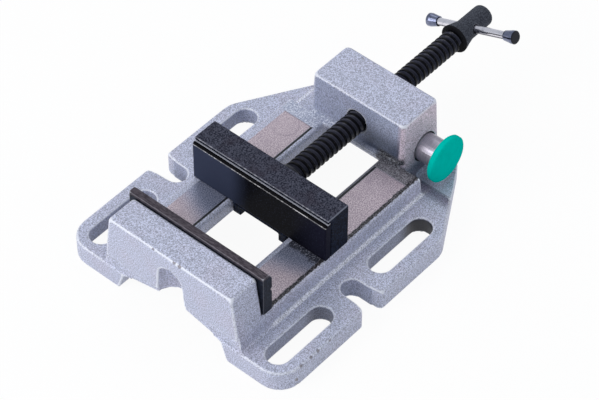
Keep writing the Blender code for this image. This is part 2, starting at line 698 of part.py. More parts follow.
def build_moving_jaw(jaw, iron, steel, dark):
    half = JAW_WIDTH / 2
    bottom = PLATE_BOTTOM
    seat_front = MOVING_PLATE_BACK + SEAT
    profile = [
        (JAW_BODY_FRONT, MOVING_PLATE_TOP + SEAT),
        (JAW_BODY_FRONT, MOVING_JAW_TOP - JAW_EDGE),
        (JAW_BODY_FRONT + JAW_EDGE, MOVING_JAW_TOP),
        (JAW_BODY_BACK - JAW_EDGE, MOVING_JAW_TOP),
        (JAW_BODY_BACK, MOVING_JAW_TOP - JAW_EDGE),
        (JAW_BODY_BACK, bottom),
        (seat_front, bottom),
        (seat_front, MOVING_PLATE_TOP + SEAT),
    ]
    body = extruded("moving_jaw", profile, "Y", -half, half)
    attach(body, jaw, iron)

    tongue_half = WELL_WIDTH / 2 - 2 * RUNNING
    lug_low = RAIL_TOP - LUG_DROP
    toe_front = MOVING_FACE + SEAT
    toe_low = RAIL_TOP - TOE_DROP
    toe_back = JAW_BODY_BACK - OVERLAP
    toe = box("toe_add", (toe_front, -tongue_half, toe_low), (toe_back, tongue_half, RAIL_TOP), guides)
    low = (seat_front + SEAT, BREAK - tongue_half, toe_low + OVERLAP)
    tongue = box("tongue_add", low, (toe_back - BREAK, tongue_half - BREAK, bottom + OVERLAP), guides)
    adds = [toe, tongue]
    for side, name in ((1, "left"), (-1, "right")):
        inner = side * (tongue_half - LUG_THICK)
        outer = side * (tongue_half - RUNNING / 4)
        low = (toe_front + RUNNING, min(inner, outer), lug_low)
        high = (toe_back - OVERLAP, max(inner, outer), toe_low + OVERLAP)
        adds.append(box(f"lug_{name}", low, high, guides))
    saddle_low = (SADDLE_FRONT, -tongue_half, SADDLE_UNDER)
    saddle_high = (SADDLE_BACK, tongue_half, bottom + OVERLAP)
    adds.append(box("saddle_add", saddle_low, saddle_high, guides))
    boss = BOSS_DIAMETER / 2
    boss_profile = [(0, -OVERLAP), (boss + BOSS_EDGE, -OVERLAP), (boss, BOSS_LENGTH - BOSS_EDGE)]
    boss_profile += [(boss - BOSS_EDGE, BOSS_LENGTH), (0, BOSS_LENGTH)]
    boss_at = (JAW_BODY_BACK, 0, SCREW_HEIGHT)
    adds.append(turned("boss_add", boss_profile, "X", boss_at, 32, guides))
    web_half = boss * WEB_SHARE
    web_low = (toe_back, -web_half, bottom - OVERLAP)
    web_high = (SADDLE_BACK - OVERLAP, web_half, SCREW_HEIGHT - boss / 2)
    adds.append(box("web_add", web_low, web_high, guides))
    for item in adds:
        item.parent = jaw
    join(body, *adds)

    width = JOURNAL_DIAMETER + 2 * RUNNING
    bore_start = BOSS_FACE - JOURNAL_DEPTH - OVERLAP
    axis_at = (0, 0, SCREW_HEIGHT)
    journal = rod("journal_bore", width, bore_start, BOSS_FACE + OVERLAP, "X", axis_at, 28, guides)
    slot_half = JOURNAL_DIAMETER / 2 + CLIP_REACH + SEAT
    slot_low = (CLIP_STATION - SEAT, -slot_half, SCREW_HEIGHT - slot_half)
    slot_high = (CLIP_STATION + CLIP_THICK + SEAT, slot_half, SCREW_HEIGHT + BOSS_DIAMETER)
    clip_slot = box("clip_slot", slot_low, slot_high, guides)
    for tool in (journal, clip_slot):
        tool.parent = jaw
    cut(body, journal, clip_slot)

    face_profile = [
        (MOVING_FACE, PLATE_BOTTOM),
        (MOVING_PLATE_BACK, PLATE_BOTTOM),
        (MOVING_PLATE_BACK, MOVING_PLATE_TOP),
        (MOVING_FACE + MOVING_BEVEL, MOVING_PLATE_TOP),
        (MOVING_FACE, MOVING_PLATE_TOP - MOVING_BEVEL),
    ]
    plate = extruded("moving_jaw_plate", face_profile, "Y", -half, half)
    attach(plate, jaw, steel)
    for side, name in ((1, "left"), (-1, "right")):
        cap_screw(name, side, body, plate, jaw, dark)

    build_keeper(body, jaw, steel, dark)
    build_clip(jaw, steel)
    return body


def cap_screw(name, side, body, plate, jaw, dark):
    """A socket cap screw from the back of the jaw, its head sunk in a counterbore."""
    at = (JAW_BODY_BACK, side * PLATE_SCREW_SPREAD / 2, PLATE_SCREW_HEIGHT)
    depth = JAW_BODY_BACK - MOVING_FACE - CAP_SCREW_COVER
    radius = CAP_SCREW / 2 + SEAT
    rim = CAP_SCREW_HEAD / 2 + SEAT
    sink = [(0, -OVERLAP), (rim, -OVERLAP), (rim, CAP_SCREW_SINK), (radius, CAP_SCREW_SINK)]
    sink += [(radius, depth), (0, depth)]
    for target, label in ((body, "body"), (plate, "plate")):
        tool = turned(f"cap_sink_{label}_{name}", sink, "-X", at, 24, guides)
        tool.parent = jaw
        cut(target, tool)
    radius = CAP_SCREW / 2
    rim = CAP_SCREW_HEAD / 2
    seat = CAP_SCREW_SINK - SEAT
    top = seat - CAP_SCREW
    tip = depth - SEAT
    profile = [(0, top), (rim - BREAK, top), (rim, top + BREAK), (rim, seat), (radius, seat)]
    profile += [(radius, tip - BREAK), (radius - BREAK, tip), (0, tip)]
    screw = turned(f"moving_plate_screw_{name}", profile, "-X", at, 24)
    width = CAP_SCREW_HEAD * HEX_SHARE
    cut(screw, hex_socket(f"cap_hex_{name}", width, top + CAP_SCREW * HEX_SINK, "-X", at, jaw))
    attach(screw, jaw, dark)


def build_keeper(body, jaw, steel, dark):
    """The plate under the rail lips that keeps the jaw from lifting, with its two screws."""
    top = SADDLE_UNDER - SEAT
    front = SADDLE_FRONT + OVERLAP
    outline = rounded_rectangle(front, SADDLE_BACK, KEEPER_WIDTH / 2, 2 * OVERLAP)
    keeper = extruded("keeper_plate", outline, "Z", top - KEEPER_THICK, top)
    attach(keeper, jaw, steel)
    middle = (front + SADDLE_BACK) / 2
    size = (KEEPER_SCREW, KEEPER_SCREW_HEAD)
    for side, name in ((1, "left"), (-1, "right")):
        at = (middle, side * KEEPER_SCREW_SPREAD / 2, top - KEEPER_THICK + SEAT)
        hole = sunk_profile(*size, KEEPER_SCREW_LENGTH, SEAT)
        for target, label in ((keeper, "plate"), (body, "body")):
            tool = turned(f"keeper_gap_{label}_{name}", hole, "Z", at, 20, guides)
            tool.parent = jaw
            cut(target, tool)
        screw = turned(f"keeper_screw_{name}", sunk_profile(*size, KEEPER_SCREW_LENGTH, 0.0), "Z", at, 20)
        width = KEEPER_SCREW_HEAD * KEEPER_HEX_SHARE
        cut(screw, hex_socket(f"keeper_hex_{name}", width, KEEPER_SCREW * KEEPER_HEX_SINK, "Z", at, jaw))
        attach(screw, jaw, dark)


def build_clip(jaw, steel):
    """The horseshoe clip that sits in the groove of the journal, dropped in from above."""
    reach = JOURNAL_DIAMETER / 2 + CLIP_REACH
    throat = GROOVE_DIAMETER / 2 + SEAT
    top = SCREW_HEIGHT + BOSS_DIAMETER / 2 - CLIP_SHORT
    points = []
    for step in range(13):
        angle = math.radians(180.0 + 180.0 * step / 12)
        points.append((reach * math.cos(angle), SCREW_HEIGHT + reach * math.sin(angle)))
    points += [(reach, top), (throat, top)]
    for step in range(13):
        angle = math.radians(-180.0 * step / 12)
        points.append((throat * math.cos(angle), SCREW_HEIGHT + throat * math.sin(angle)))
    points.append((-throat, top))
    points.append((-reach, top))
    clip = extruded("retaining_clip", points, "X", CLIP_STATION, CLIP_STATION + CLIP_THICK)
    return attach(clip, jaw, steel)


def build_spindle(spindle, black, steel, iron):
    """Screw spindle, from the journal in the moving jaw to the socket of the handle head."""
    radius = SCREW_DIAMETER / 2
    journal = JOURNAL_DIAMETER / 2
    groove = GROOVE_DIAMETER / 2
    chamfer = THREAD_CHAMFER
    tip = BOSS_FACE - JOURNAL_DEPTH
    stem = HEAD_START + HEAD_SOCKET - 2 * SEAT
    profile = [
        (0, tip),
        (journal - BREAK, tip),
        (journal, tip + BREAK),
        (journal, CLIP_STATION - SEAT),
        (groove, CLIP_STATION - SEAT),
        (groove, CLIP_STATION + CLIP_THICK + SEAT),
        (journal, CLIP_STATION + CLIP_THICK + SEAT),
        (journal, SHOULDER),
        (radius - chamfer, SHOULDER),
        (radius, SHOULDER + chamfer),
        (radius, HEAD_START - chamfer - 2 * SEAT),
        (radius - chamfer, HEAD_START - 2 * SEAT),
        (journal, HEAD_START - 2 * SEAT),
        (journal, stem),
        (0, stem),
    ]
    screw = turned("screw_spindle", profile, "X", (0, 0, 0), 40)
    attach(screw, spindle, black)

    inner = journal + SEAT
    outer = WASHER_DIAMETER / 2
    front = BOSS_FACE + SEAT
    ring = [(inner, front), (outer, front), (outer, front + WASHER_THICK), (inner, front + WASHER_THICK)]
    washer = turned("thrust_washer", ring + ring[:1], "X", (0, 0, 0), 32)
    attach(washer, spindle, steel)

    collar = COLLAR_DIAMETER / 2
    head = HEAD_DIAMETER / 2
    neck = HEAD_START + COLLAR_LENGTH
    end = HEAD_START + HEAD_LENGTH
    crown = HEAD_CROWN
    profile = [(0, HEAD_START), (collar - BREAK, HEAD_START), (collar, HEAD_START + BREAK)]
    profile += [(head, neck), (head, end - crown)]
    for step in range(1, 5):
        angle = math.radians(90.0 * step / 4)
        profile.append((head - crown * (1 - math.cos(angle)), end - crown + crown * math.sin(angle)))
    profile.append((0, end))
    tee = turned("tee_head", profile, "X", (0, 0, 0), 32)
    width = JOURNAL_DIAMETER + 2 * SEAT
    depth = HEAD_START + HEAD_SOCKET
    socket = rod("head_socket", width, HEAD_START - OVERLAP, depth, "X", (0, 0, 0), 28, guides)
    reach = HEAD_DIAMETER
    cross_at = (HEAD_START + BAR_STATION, 0, 0)
    cross = rod("cross_hole", BAR_DIAMETER + 2 * RUNNING, -reach, reach, "Y", cross_at, 24, guides)
    cross.rotation_euler = (BAR_TILT - math.pi / 2, 0, 0)
    for tool in (socket, cross):
        tool.parent = spindle
    cut(tee, socket, cross)
    attach(tee, spindle, iron)


def build_bar(bar, chrome, steel):
    """The tommy bar, along Y of its own empty, with a pressed cap on each end."""
    stop = BAR_LENGTH / 2 - CAP_LENGTH + CAP_SOCKET - 2 * SEAT - CAP_TAPER / 2
    core = rod("tommy_bar", BAR_DIAMETER, -stop, stop, "Y", (0, 0, 0), 24)
    attach(core, bar, chrome)
    radius = CAP_DIAMETER / 2
    thin = BAR_DIAMETER / 2 + CAP_WALL
    start = BAR_LENGTH / 2 - CAP_LENGTH - CAP_TAPER
    waist = start + CAP_TAPER
    end = BAR_LENGTH / 2
    for axis, name in (("Y", "left"), ("-Y", "right")):
        profile = [(0, start), (thin, start), (radius, waist), (radius, end - BREAK)]
        profile += [(radius - BREAK, end), (0, end)]
        cap = turned(f"bar_cap_{name}", profile, axis, (0, 0, 0), 28)
        width = BAR_DIAMETER + 2 * SEAT
        first = start - OVERLAP
        socket = rod(f"cap_socket_{name}", width, first, stop + SEAT, axis, (0, 0, 0), 24, guides)
        socket.parent = bar
        cut(cap, socket)
        attach(cap, bar, steel)


def build_release(button, steel, green):
    """Plunger whose slot is a half nut at its inner end, and its green cap.

    The spring holds the half nut against the screw. Pushed in by its stroke, it lets the screw slide.
    """
    radius = PLUNGER_DIAMETER / 2
    spigot = SPIGOT_DIAMETER / 2
    spigot_end = BUTTON_BACK + SPIGOT_LENGTH
    edge = PLUNGER_EDGE
    profile = [(0, -PLUNGER_INNER), (radius - edge, -PLUNGER_INNER), (radius, edge - PLUNGER_INNER)]
    profile += [(radius, BUTTON_BACK), (spigot, BUTTON_BACK), (spigot, spigot_end), (0, spigot_end)]
    plunger = turned("release_plunger", profile, "-Y", (0, 0, 0), 36)
    width = SPRING_DIAMETER + 3 * RUNNING
    pocket_end = PLUNGER_INNER - SPRING_POCKET
    mouth = PLUNGER_INNER + OVERLAP
    pocket = rod("spring_pocket", width, pocket_end, mouth, "Y", (0, 0, 0), 28, guides)
    rise = SCREW_HEIGHT - PLUNGER_HEIGHT
    nut = SCREW_DIAMETER + 2 * RUNNING
    slot = stadium(-PLUNGER_STROKE - OVERLAP, 0.0, rise, nut, 16)
    saddle = extruded("thread_saddle", slot, "X", -PLUNGER_DIAMETER, PLUNGER_DIAMETER, guides)
    for tool in (pocket, saddle):
        tool.parent = button
    cut(plunger, pocket, saddle)
    attach(plunger, button, steel)

    disc = BUTTON_DIAMETER / 2
    rim = BUTTON_RIM
    start = BUTTON_BACK + SEAT
    end = start + BUTTON_THICK
    profile = [(0, start), (disc - edge, start), (disc, start + edge), (disc, start + rim)]
    for step in range(1, 6):
        angle = math.radians(90.0 * step / 5)
        profile.append((disc * math.cos(angle), start + rim + (BUTTON_THICK - rim) * math.sin(angle)))
    profile[-1] = (0, end)
    cap = turned("release_button", profile, "-Y", (0, 0, 0), 40)
    width = SPIGOT_DIAMETER + 2 * SEAT
    first = start - OVERLAP
    socket = rod("button_socket", width, first, spigot_end + SEAT, "-Y", (0, 0, 0), 28, guides)
    socket.parent = button
    cut(cap, socket)
    attach(cap, button, green)


def build_spring(steel):
    """The return spring between the blind end of the bore and the pocket of the plunger."""
    far = BORE_END - SPRING_WIRE / 2 - SEAT
    near = PLUNGER_INNER - SPRING_POCKET + SPRING_WIRE / 2 + SEAT
    radius = (SPRING_DIAMETER - SPRING_WIRE) / 2
    per_turn = 12
    count = SPRING_TURNS * per_turn
    curve = bpy.data.curves.new("return_spring", "CURVE")
    curve.dimensions = "3D"
    curve.bevel_depth = SPRING_WIRE / 2
    curve.bevel_resolution = 1
    curve.use_fill_caps = True
    path = curve.splines.new("POLY")
    path.points.add(count)
    for index in range(count + 1):
        share = index / count
        angle = 2 * math.pi * SPRING_TURNS * share
        spot = (radius * math.cos(angle), near + (far - near) * share, radius * math.sin(angle), 1.0)
        path.points[index].co = spot
    spring = bpy.data.objects.new("return_spring", curve)
    parts.objects.link(spring)
    spring.location = (PLUNGER_STATION, 0, PLUNGER_HEIGHT)
    return attach(spring, datum, steel)


def main():
    global parts, guides, datum
    clear_scene()
    parts = new_collection("machine_vise")
    guides = new_collection("cutters")
    guides.hide_render = True

    paint = finish_material("grey_cast_paint", (0.48, 0.50, 0.56), 0.55, 0.1)
    black_steel = finish_material("blackened_steel", (0.035, 0.035, 0.042), 0.45, 0.6)
    black_iron = finish_material("black_jaw", (0.04, 0.04, 0.048), 0.5, 0.4)
    black_thread = finish_material("black_thread", (0.012, 0.012, 0.014), 0.25, 0.6)
    charcoal = finish_material("charcoal_casting", (0.06, 0.06, 0.065), 0.7, 0.2)
    chrome = finish_material("bright_steel", (0.62, 0.62, 0.66), 0.15, 1.0)
    grey_steel = finish_material("turned_steel", (0.42, 0.42, 0.42), 0.35, 0.9)
    green = finish_material("green_cap", (0.0, 0.36, 0.25), 0.35, 0.0)

    datum = new_empty("datum", (-LENGTH / 2, 0, 0))
    jaw = new_empty("jaw_slide_axis", (0, 0, 0), datum)
    spindle = new_empty("spindle_axis", (0, 0, SCREW_HEIGHT), jaw)
    bar_at = (HEAD_START + BAR_STATION, 0, 0)
    bar_axis = new_empty("bar_axis", bar_at, spindle, (BAR_TILT, 0, 0))
    bar = new_empty("bar_middle", (0, -BAR_OFFSET, 0), bar_axis)
    button = new_empty("release_axis", (PLUNGER_STATION, 0, PLUNGER_HEIGHT), datum)

    build_casting(paint)
    build_fixed_plate(black_steel, black_steel)
    build_moving_jaw(jaw, black_iron, black_steel, black_steel)
    build_spindle(spindle, black_thread, grey_steel, charcoal)
    build_bar(bar, chrome, grey_steel)
    build_release(button, grey_steel, green)
    build_spring(grey_steel)


main()
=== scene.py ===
# %% [markdown]
# # A machine vise for the drill press
# This lesson dresses a finished CAD model of a small machine vise. The frame is a silver-grey
# casting, the jaws and the screw are black, and a teal button in the side of the screw housing
# lets the screw slide. The CAD model fixes every size and every joint, so all that is made here
# is the look: softer edges, a real thread, worn steel and paint.

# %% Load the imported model
import math

import bmesh
import bpy
import numpy as np
from mathutils import Matrix, Vector, noise


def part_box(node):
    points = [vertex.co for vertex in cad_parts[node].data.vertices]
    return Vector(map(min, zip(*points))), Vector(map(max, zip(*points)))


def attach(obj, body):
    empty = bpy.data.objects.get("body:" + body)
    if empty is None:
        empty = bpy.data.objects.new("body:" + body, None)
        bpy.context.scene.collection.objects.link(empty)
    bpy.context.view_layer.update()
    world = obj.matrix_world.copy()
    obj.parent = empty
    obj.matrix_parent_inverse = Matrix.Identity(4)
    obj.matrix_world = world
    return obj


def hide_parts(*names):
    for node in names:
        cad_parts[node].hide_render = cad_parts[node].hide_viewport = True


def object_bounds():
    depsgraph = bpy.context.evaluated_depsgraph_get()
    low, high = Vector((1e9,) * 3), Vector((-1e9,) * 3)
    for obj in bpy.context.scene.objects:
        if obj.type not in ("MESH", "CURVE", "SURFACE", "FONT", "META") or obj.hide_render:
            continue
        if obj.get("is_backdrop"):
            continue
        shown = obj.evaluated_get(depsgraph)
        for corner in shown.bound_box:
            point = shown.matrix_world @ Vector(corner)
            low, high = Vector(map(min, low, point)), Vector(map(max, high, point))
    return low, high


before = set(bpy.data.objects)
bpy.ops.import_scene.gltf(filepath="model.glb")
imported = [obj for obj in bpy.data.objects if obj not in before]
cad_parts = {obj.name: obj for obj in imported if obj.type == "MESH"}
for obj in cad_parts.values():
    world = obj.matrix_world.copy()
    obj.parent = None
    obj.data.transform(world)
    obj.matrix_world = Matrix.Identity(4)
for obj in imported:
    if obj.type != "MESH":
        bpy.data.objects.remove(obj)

cad_low, cad_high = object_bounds()
MM = 0.001
print("nodes:", len(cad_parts), "size in mm:", [round(v / MM, 1) for v in cad_high - cad_low])

# %% [markdown]
# ## The camera
# The camera was solved from straight edges of the photograph. It looks down on the vise from the
# front right with a long lens, so parallel edges stay nearly parallel.

# %% Place the camera
SENSOR = 36.0
LENS = 156.80
camera_data = bpy.data.cameras.new("camera")
camera_data.sensor_fit = "HORIZONTAL"
camera_data.sensor_width = SENSOR
camera_data.lens = LENS
camera_data.clip_start = 0.05
camera_data.clip_end = 30.0
camera = bpy.data.objects.new("camera", camera_data)
bpy.context.scene.collection.objects.link(camera)
STAND = Vector((-0.80789, -0.66686, 1.12832))
right = Vector((0.65432, -0.75621, 0.00363)).normalized()
forward = Vector((0.51312, 0.44045, -0.73668)).normalized()
upward = right.cross(forward).normalized()
turn = Matrix((right, upward, -forward)).transposed()
camera.matrix_world = Matrix.Translation(STAND) @ turn.to_4x4()
bpy.context.scene.camera = camera
print("camera distance in m:", round(camera.location.length, 3))

# %% [markdown]
# ## Light and floor
# The vise stands on a white table in soft studio light. A real studio would use a few soft boxes,
# and area lamps are Blender's soft boxes. One wide lamp low over the front left of the vise is the
# main light: it leaves the flange to the right of the jaws in soft shade. A weak lamp behind the
# vise only shows as a sheen on the tops, and a weak small one to the right draws the bright
# streak along the black thread.
# The rest comes evenly from the sky of the scene.

# %% Set the sky and the lamps
scene = bpy.context.scene
scene.view_settings.view_transform = "Standard"
AMBIENT = 0.60
world = bpy.data.worlds.new("studio")
scene.world = world
world.use_nodes = True
sky = world.node_tree.nodes["Background"]
sky.inputs["Color"].default_value = (0.90, 0.945, 1.0, 1.0)
sky.inputs["Strength"].default_value = AMBIENT


def lamp(name, direction, distance, size, power, color=(1.0, 1.0, 1.0)):
    """A square soft lamp that looks at the middle of the vise from this direction."""
    data = bpy.data.lights.new(name, "AREA")
    data.shape = "SQUARE"
    data.size = size
    data.energy = power
    data.color = color
    item = bpy.data.objects.new(name, data)
    scene.collection.objects.link(item)
    item.location = Vector(direction).normalized() * distance
    item.rotation_euler = item.location.to_track_quat("Z", "Y").to_euler()


lamp("front window", (-0.76, 0.37, 0.53), 1.75, 1.1, 17.0, (1.0, 0.985, 0.97))
lamp("rear window", (0.51, 0.44, 0.74), 1.8, 1.2, 4.0)
lamp("small right lamp", (0.51, -0.69, 0.51), 1.8, 0.30, 2.0, (1.0, 0.92, 0.94))
print("lamps:", len(bpy.data.lights), "sky strength:", AMBIENT)

# %% [markdown]
# The table is one big white plane. Seen by the camera, and in the mirror of bright metal, it
# glows evenly, so it stays white without more light on the vise. A small part is still plain
# paint, which keeps the soft shadow under the flange.

# %% Lay the table
FLOOR = 6.0
SHADE = 0.06
GAP = 0.02 * MM
bpy.ops.mesh.primitive_plane_add(size=FLOOR, location=(0, 0, -GAP))
floor = bpy.context.object
floor.name = "table_top"
floor_paint = bpy.data.materials.new("table_white")
floor_paint.use_nodes = True
tree = floor_paint.node_tree
base = tree.nodes["Principled BSDF"]
base.inputs["Base Color"].default_value = (0.90, 0.90, 0.91, 1.0)
base.inputs["Roughness"].default_value = 0.9
base.inputs["Specular IOR Level"].default_value = 0.1
glow = tree.nodes.new("ShaderNodeEmission")
glow.inputs["Strength"].default_value = 1.0
path = tree.nodes.new("ShaderNodeLightPath")
seen = path.outputs["Is Camera Ray"]
for outlet in ("Is Glossy Ray", "Is Transmission Ray"):
    either = tree.nodes.new("ShaderNodeMath")
    either.operation = "MAXIMUM"
    tree.links.new(seen, either.inputs[0])
    tree.links.new(path.outputs[outlet], either.inputs[1])
    seen = either.outputs[0]
share = tree.nodes.new("ShaderNodeMath")
share.operation = "MULTIPLY"
share.inputs[1].default_value = 1.0 - SHADE
tree.links.new(seen, share.inputs[0])
choice = tree.nodes.new("ShaderNodeMixShader")
tree.links.new(share.outputs[0], choice.inputs[0])
tree.links.new(base.outputs[0], choice.inputs[1])
tree.links.new(glow.outputs[0], choice.inputs[2])
tree.links.new(choice.outputs[0], tree.nodes["Material Output"].inputs["Surface"])
floor.data.materials.append(floor_paint)
floor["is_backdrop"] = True
print("table in m:", FLOOR)

# %% [markdown]
# ## Helpers for finishes
# Each finish is a small net of nodes. These helpers add one node each and hand back its outlet,
# so that a finish reads from top to bottom like a recipe. All patterns are placed by the point's
# own position in metres, so a grain of 1 mm is asked for as 1 mm.

# %% Helpers: one node at a time
class Finish:
    """A material under construction, with its node tree and its main shader."""

    def __init__(self, name, color, roughness, metallic=0.0):
        self.material = bpy.data.materials.new(name)
        self.material.use_nodes = True
        self.tree = self.material.node_tree
        self.shader = self.tree.nodes["Principled BSDF"]
        self.shader.inputs["Base Color"].default_value = (*color, 1.0)
        self.shader.inputs["Roughness"].default_value = roughness
        self.shader.inputs["Metallic"].default_value = metallic
        self.place = self.tree.nodes.new("ShaderNodeTexCoord").outputs["Object"]
        self.bumps = None

    def node(self, kind, inputs, **settings):
        item = self.tree.nodes.new(kind)
        for key, value in settings.items():
            setattr(item, key, value)
        for key, value in inputs.items():
            if isinstance(value, bpy.types.NodeSocket):
                self.tree.links.new(value, item.inputs[key])
            else:
                item.inputs[key].default_value = value
        return item

    def math(self, operation, a, b=0.0):
        return self.node("ShaderNodeMath", {0: a, 1: b}, operation=operation).outputs[0]

    def ramp(self, value, low, high):
        """0 below low, 1 above high, and smooth between them. It falls when high is below low."""
        inputs = {"Value": value, "From Min": low, "From Max": high}
        item = self.node("ShaderNodeMapRange", inputs, interpolation_type="SMOOTHSTEP")
        return item.outputs[0]

    def above(self, value, edge, soft):
        """0 below the edge and 1 above it, with a smooth change that is twice as wide as soft."""
        return self.ramp(value, edge - soft, edge + soft)

    def below(self, value, edge, soft):
        """1 below the edge and 0 above it."""
        return self.ramp(value, edge + soft, edge - soft)

    def band(self, value, low, high, soft):
        """1 between low and high, and 0 outside them."""
        return self.math("MULTIPLY", self.above(value, low, soft), self.below(value, high, soft))

    def mix(self, share, a, b):
        """From colour a to colour b. Either may be a colour or an outlet."""
        inputs = {0: share}
        for slot, value in ((6, a), (7, b)):
            inputs[slot] = value if isinstance(value, bpy.types.NodeSocket) else (*value, 1.0)
        return self.node("ShaderNodeMix", inputs, data_type="RGBA").outputs[2]

    def mottled(self, pattern, low, high, dark, light):
        """Patches of two paints: the dark one where the pattern is under low, the light one over high."""
        return self.mix(self.ramp(pattern, low, high), srgb(*dark), srgb(*light))

    def stain(self, colour, mask, share, other):
        """The colour, with this share of another laid over it where the mask is 1."""
        return self.mix(self.scaled(mask, share), colour, other)

    def tint(self, a, b):
        """Colour a multiplied by colour or number b, so that the pattern in b stays visible."""
        return self.node("ShaderNodeMix", {0: 1.0, 6: a, 7: b}, data_type="RGBA",
                         blend_type="MULTIPLY").outputs[2]

    def blend(self, share, a, b):
        """From number a to number b."""
        return self.node("ShaderNodeMix", {0: share, 2: a, 3: b}, data_type="FLOAT").outputs[0]

    def grain(self, size, detail=2.0, stretch=(1.0, 1.0, 1.0), rough=0.5, shift=0.0):
        """Cloudy noise whose lumps are about as big as size, in metres."""
        place = self.place
        if stretch != (1.0, 1.0, 1.0) or shift:
            inputs = {"Vector": place, "Scale": stretch, "Location": (shift, shift, shift)}
            place = self.node("ShaderNodeMapping", inputs).outputs[0]
        inputs = {"Vector": place, "Scale": 1.0 / size, "Detail": detail, "Roughness": rough}
        return self.node("ShaderNodeTexNoise", inputs).outputs["Fac"]

    def axes(self):
        split = self.node("ShaderNodeSeparateXYZ", {0: self.place})
        return split.outputs[0], split.outputs[1], split.outputs[2]

    def carried(self, name):
        """A number that the mesh carries at each of its points."""
        return self.node("ShaderNodeAttribute", {}, attribute_name=name).outputs["Fac"]

    def bump(self, height, depth, strength=1.0):
        """Adds relief of this depth in metres on top of the relief made before it."""
        inputs = {"Height": height, "Distance": depth, "Strength": strength}
        if self.bumps:
            inputs["Normal"] = self.bumps
        self.bumps = self.node("ShaderNodeBump", inputs).outputs[0]
        self.tree.links.new(self.bumps, self.shader.inputs["Normal"])

    def feed(self, socket, value):
        self.tree.links.new(value, self.shader.inputs[socket])

    def dull(self, level):
        """Weakens the plain reflection, which is the same all over."""
        self.shader.inputs["Specular IOR Level"].default_value = level

    def all_of(self, *masks):
        """A mask that is 1 only where every mask is 1."""
        result = masks[0]
        for mask in masks[1:]:
            result = self.math("MULTIPLY", result, mask)
        return result

    def off(self, mask):
        """1 where the mask is 0, and 0 where it is 1."""
        return self.math("SUBTRACT", 1.0, mask)

    def distance(self, a, b):
        """How far a point is from a line, when it is off by a one way and by b the other way."""
        squares = self.math("MULTIPLY", a, a), self.math("MULTIPLY", b, b)
        return self.math("SQRT", self.math("ADD", *squares))

    def scaled(self, value, factor):
        return self.math("MULTIPLY", value, factor)

    def ragged(self, size, width, shift=0.0):
        """An uneven offset in metres, about as wide as width, to roughen a border with."""
        return self.scaled(self.math("SUBTRACT", self.grain(size, 4.0, shift=shift), 0.5), 2 * width)


def srgb(r, g, b):
    """A colour as a paint shop writes it, from 0 to 255, turned into linear light."""
    parts = []
    for value in (r, g, b):
        share = value / 255
        parts.append(share / 12.92 if share <= 0.04045 else ((share + 0.055) / 1.055) ** 2.4)
    return tuple(parts)


def coat(node, finish):
    """Gives a CAD node this finish."""
    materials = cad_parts[node].data.materials
    materials.clear()
    materials.append(finish.material)


print("silver paint in linear light:", [round(v, 3) for v in srgb(178, 182, 202)])

# %% [markdown]
# ## Helpers for shapes
# A CAD solid has knife-sharp edges, and a casting has none. The voxel remesher rebuilds a copy of
# the solid from small equal faces, and a few rounds of smoothing then rub its edges round, much
# as a foundry's pattern maker would. The copy never leaves the solid's own box.

# %% Helpers: softened copies and wear
NEAR = 0.001 * MM


def shown(name, mesh, body, slot, *nodes):
    """Puts a finished mesh on its body in place of CAD nodes."""
    piece = bpy.data.objects.new(name, mesh)
    scene.collection.objects.link(piece)
    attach(piece, body)
    if nodes:
        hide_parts(*nodes)
    return piece


def points_of(mesh):
    flat = np.empty(len(mesh.vertices) * 3)
    mesh.vertices.foreach_get("co", flat)
    return flat.reshape(-1, 3)


def normals_of(mesh):
    flat = np.empty(len(mesh.vertices) * 3, np.float32)
    mesh.vertex_normals.foreach_get("vector", flat)
    return flat.reshape(-1, 3).astype(float)


def neighbour_mean(mesh, values):
    """The mean of each point's neighbours."""
    ends = np.empty(len(mesh.edges) * 2, np.int32)
    mesh.edges.foreach_get("vertices", ends)
    a, b = ends.reshape(-1, 2).T
    count = np.bincount(np.concatenate((a, b)), minlength=len(values))
    result = np.empty_like(values)
    for column in range(values.shape[1]):
        total = np.bincount(a, values[b, column], len(values))
        total += np.bincount(b, values[a, column], len(values))
        result[:, column] = total / np.maximum(count, 1)
    return result


def carry(mesh, name, values):
    """Stores one number at each point of the mesh, for its finish to read."""
    store = mesh.attributes.new(name, "FLOAT", "POINT")
    store.data.foreach_set("value", np.asarray(values, np.float32))


def carry_edges(mesh, grain, spread=2):
    """Stores how far each point sticks out of its surroundings: 1 on a sharp edge, -1 in a corner."""
    place = points_of(mesh)
    around = neighbour_mean(mesh, neighbour_mean(mesh, place))
    out = ((place - around) * normals_of(mesh)).sum(axis=1, keepdims=True) / grain
    for _ in range(spread):
        out = 0.5 * out + 0.5 * neighbour_mean(mesh, out)
    carry(mesh, "edge", np.clip(out[:, 0] * 4.0, -1, 1))


def softened(node, grain, passes):
    """A copy of a CAD node's skin in faces as big as the grain, with its edges rubbed round."""
    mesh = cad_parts[node].data.copy()
    work = bmesh.new()
    work.from_mesh(mesh)
    bmesh.ops.remove_doubles(work, verts=work.verts, dist=2 * NEAR)
    work.to_mesh(mesh)
    work.free()
    item = bpy.data.objects.new("work", mesh)
    scene.collection.objects.link(item)
    rebuild = item.modifiers.new("rebuild", "REMESH")
    rebuild.mode = "VOXEL"
    rebuild.voxel_size = grain
    rebuild.use_smooth_shade = True
    rub = item.modifiers.new("rub", "SMOOTH")
    rub.factor = 0.5
    rub.iterations = passes
    graph = bpy.context.evaluated_depsgraph_get()
    result = bpy.data.meshes.new_from_object(item.evaluated_get(graph))
    bpy.data.objects.remove(item)
    low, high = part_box(node)
    place = np.clip(points_of(result), np.array(low), np.array(high))
    result.vertices.foreach_set("co", place.ravel())
    result.materials.clear()
    result.update()
    print(node, "faces:", len(result.polygons))
    return result


FRONT = cad_low.x
print("front face of the casting at X in mm:", round(FRONT / MM, 1))

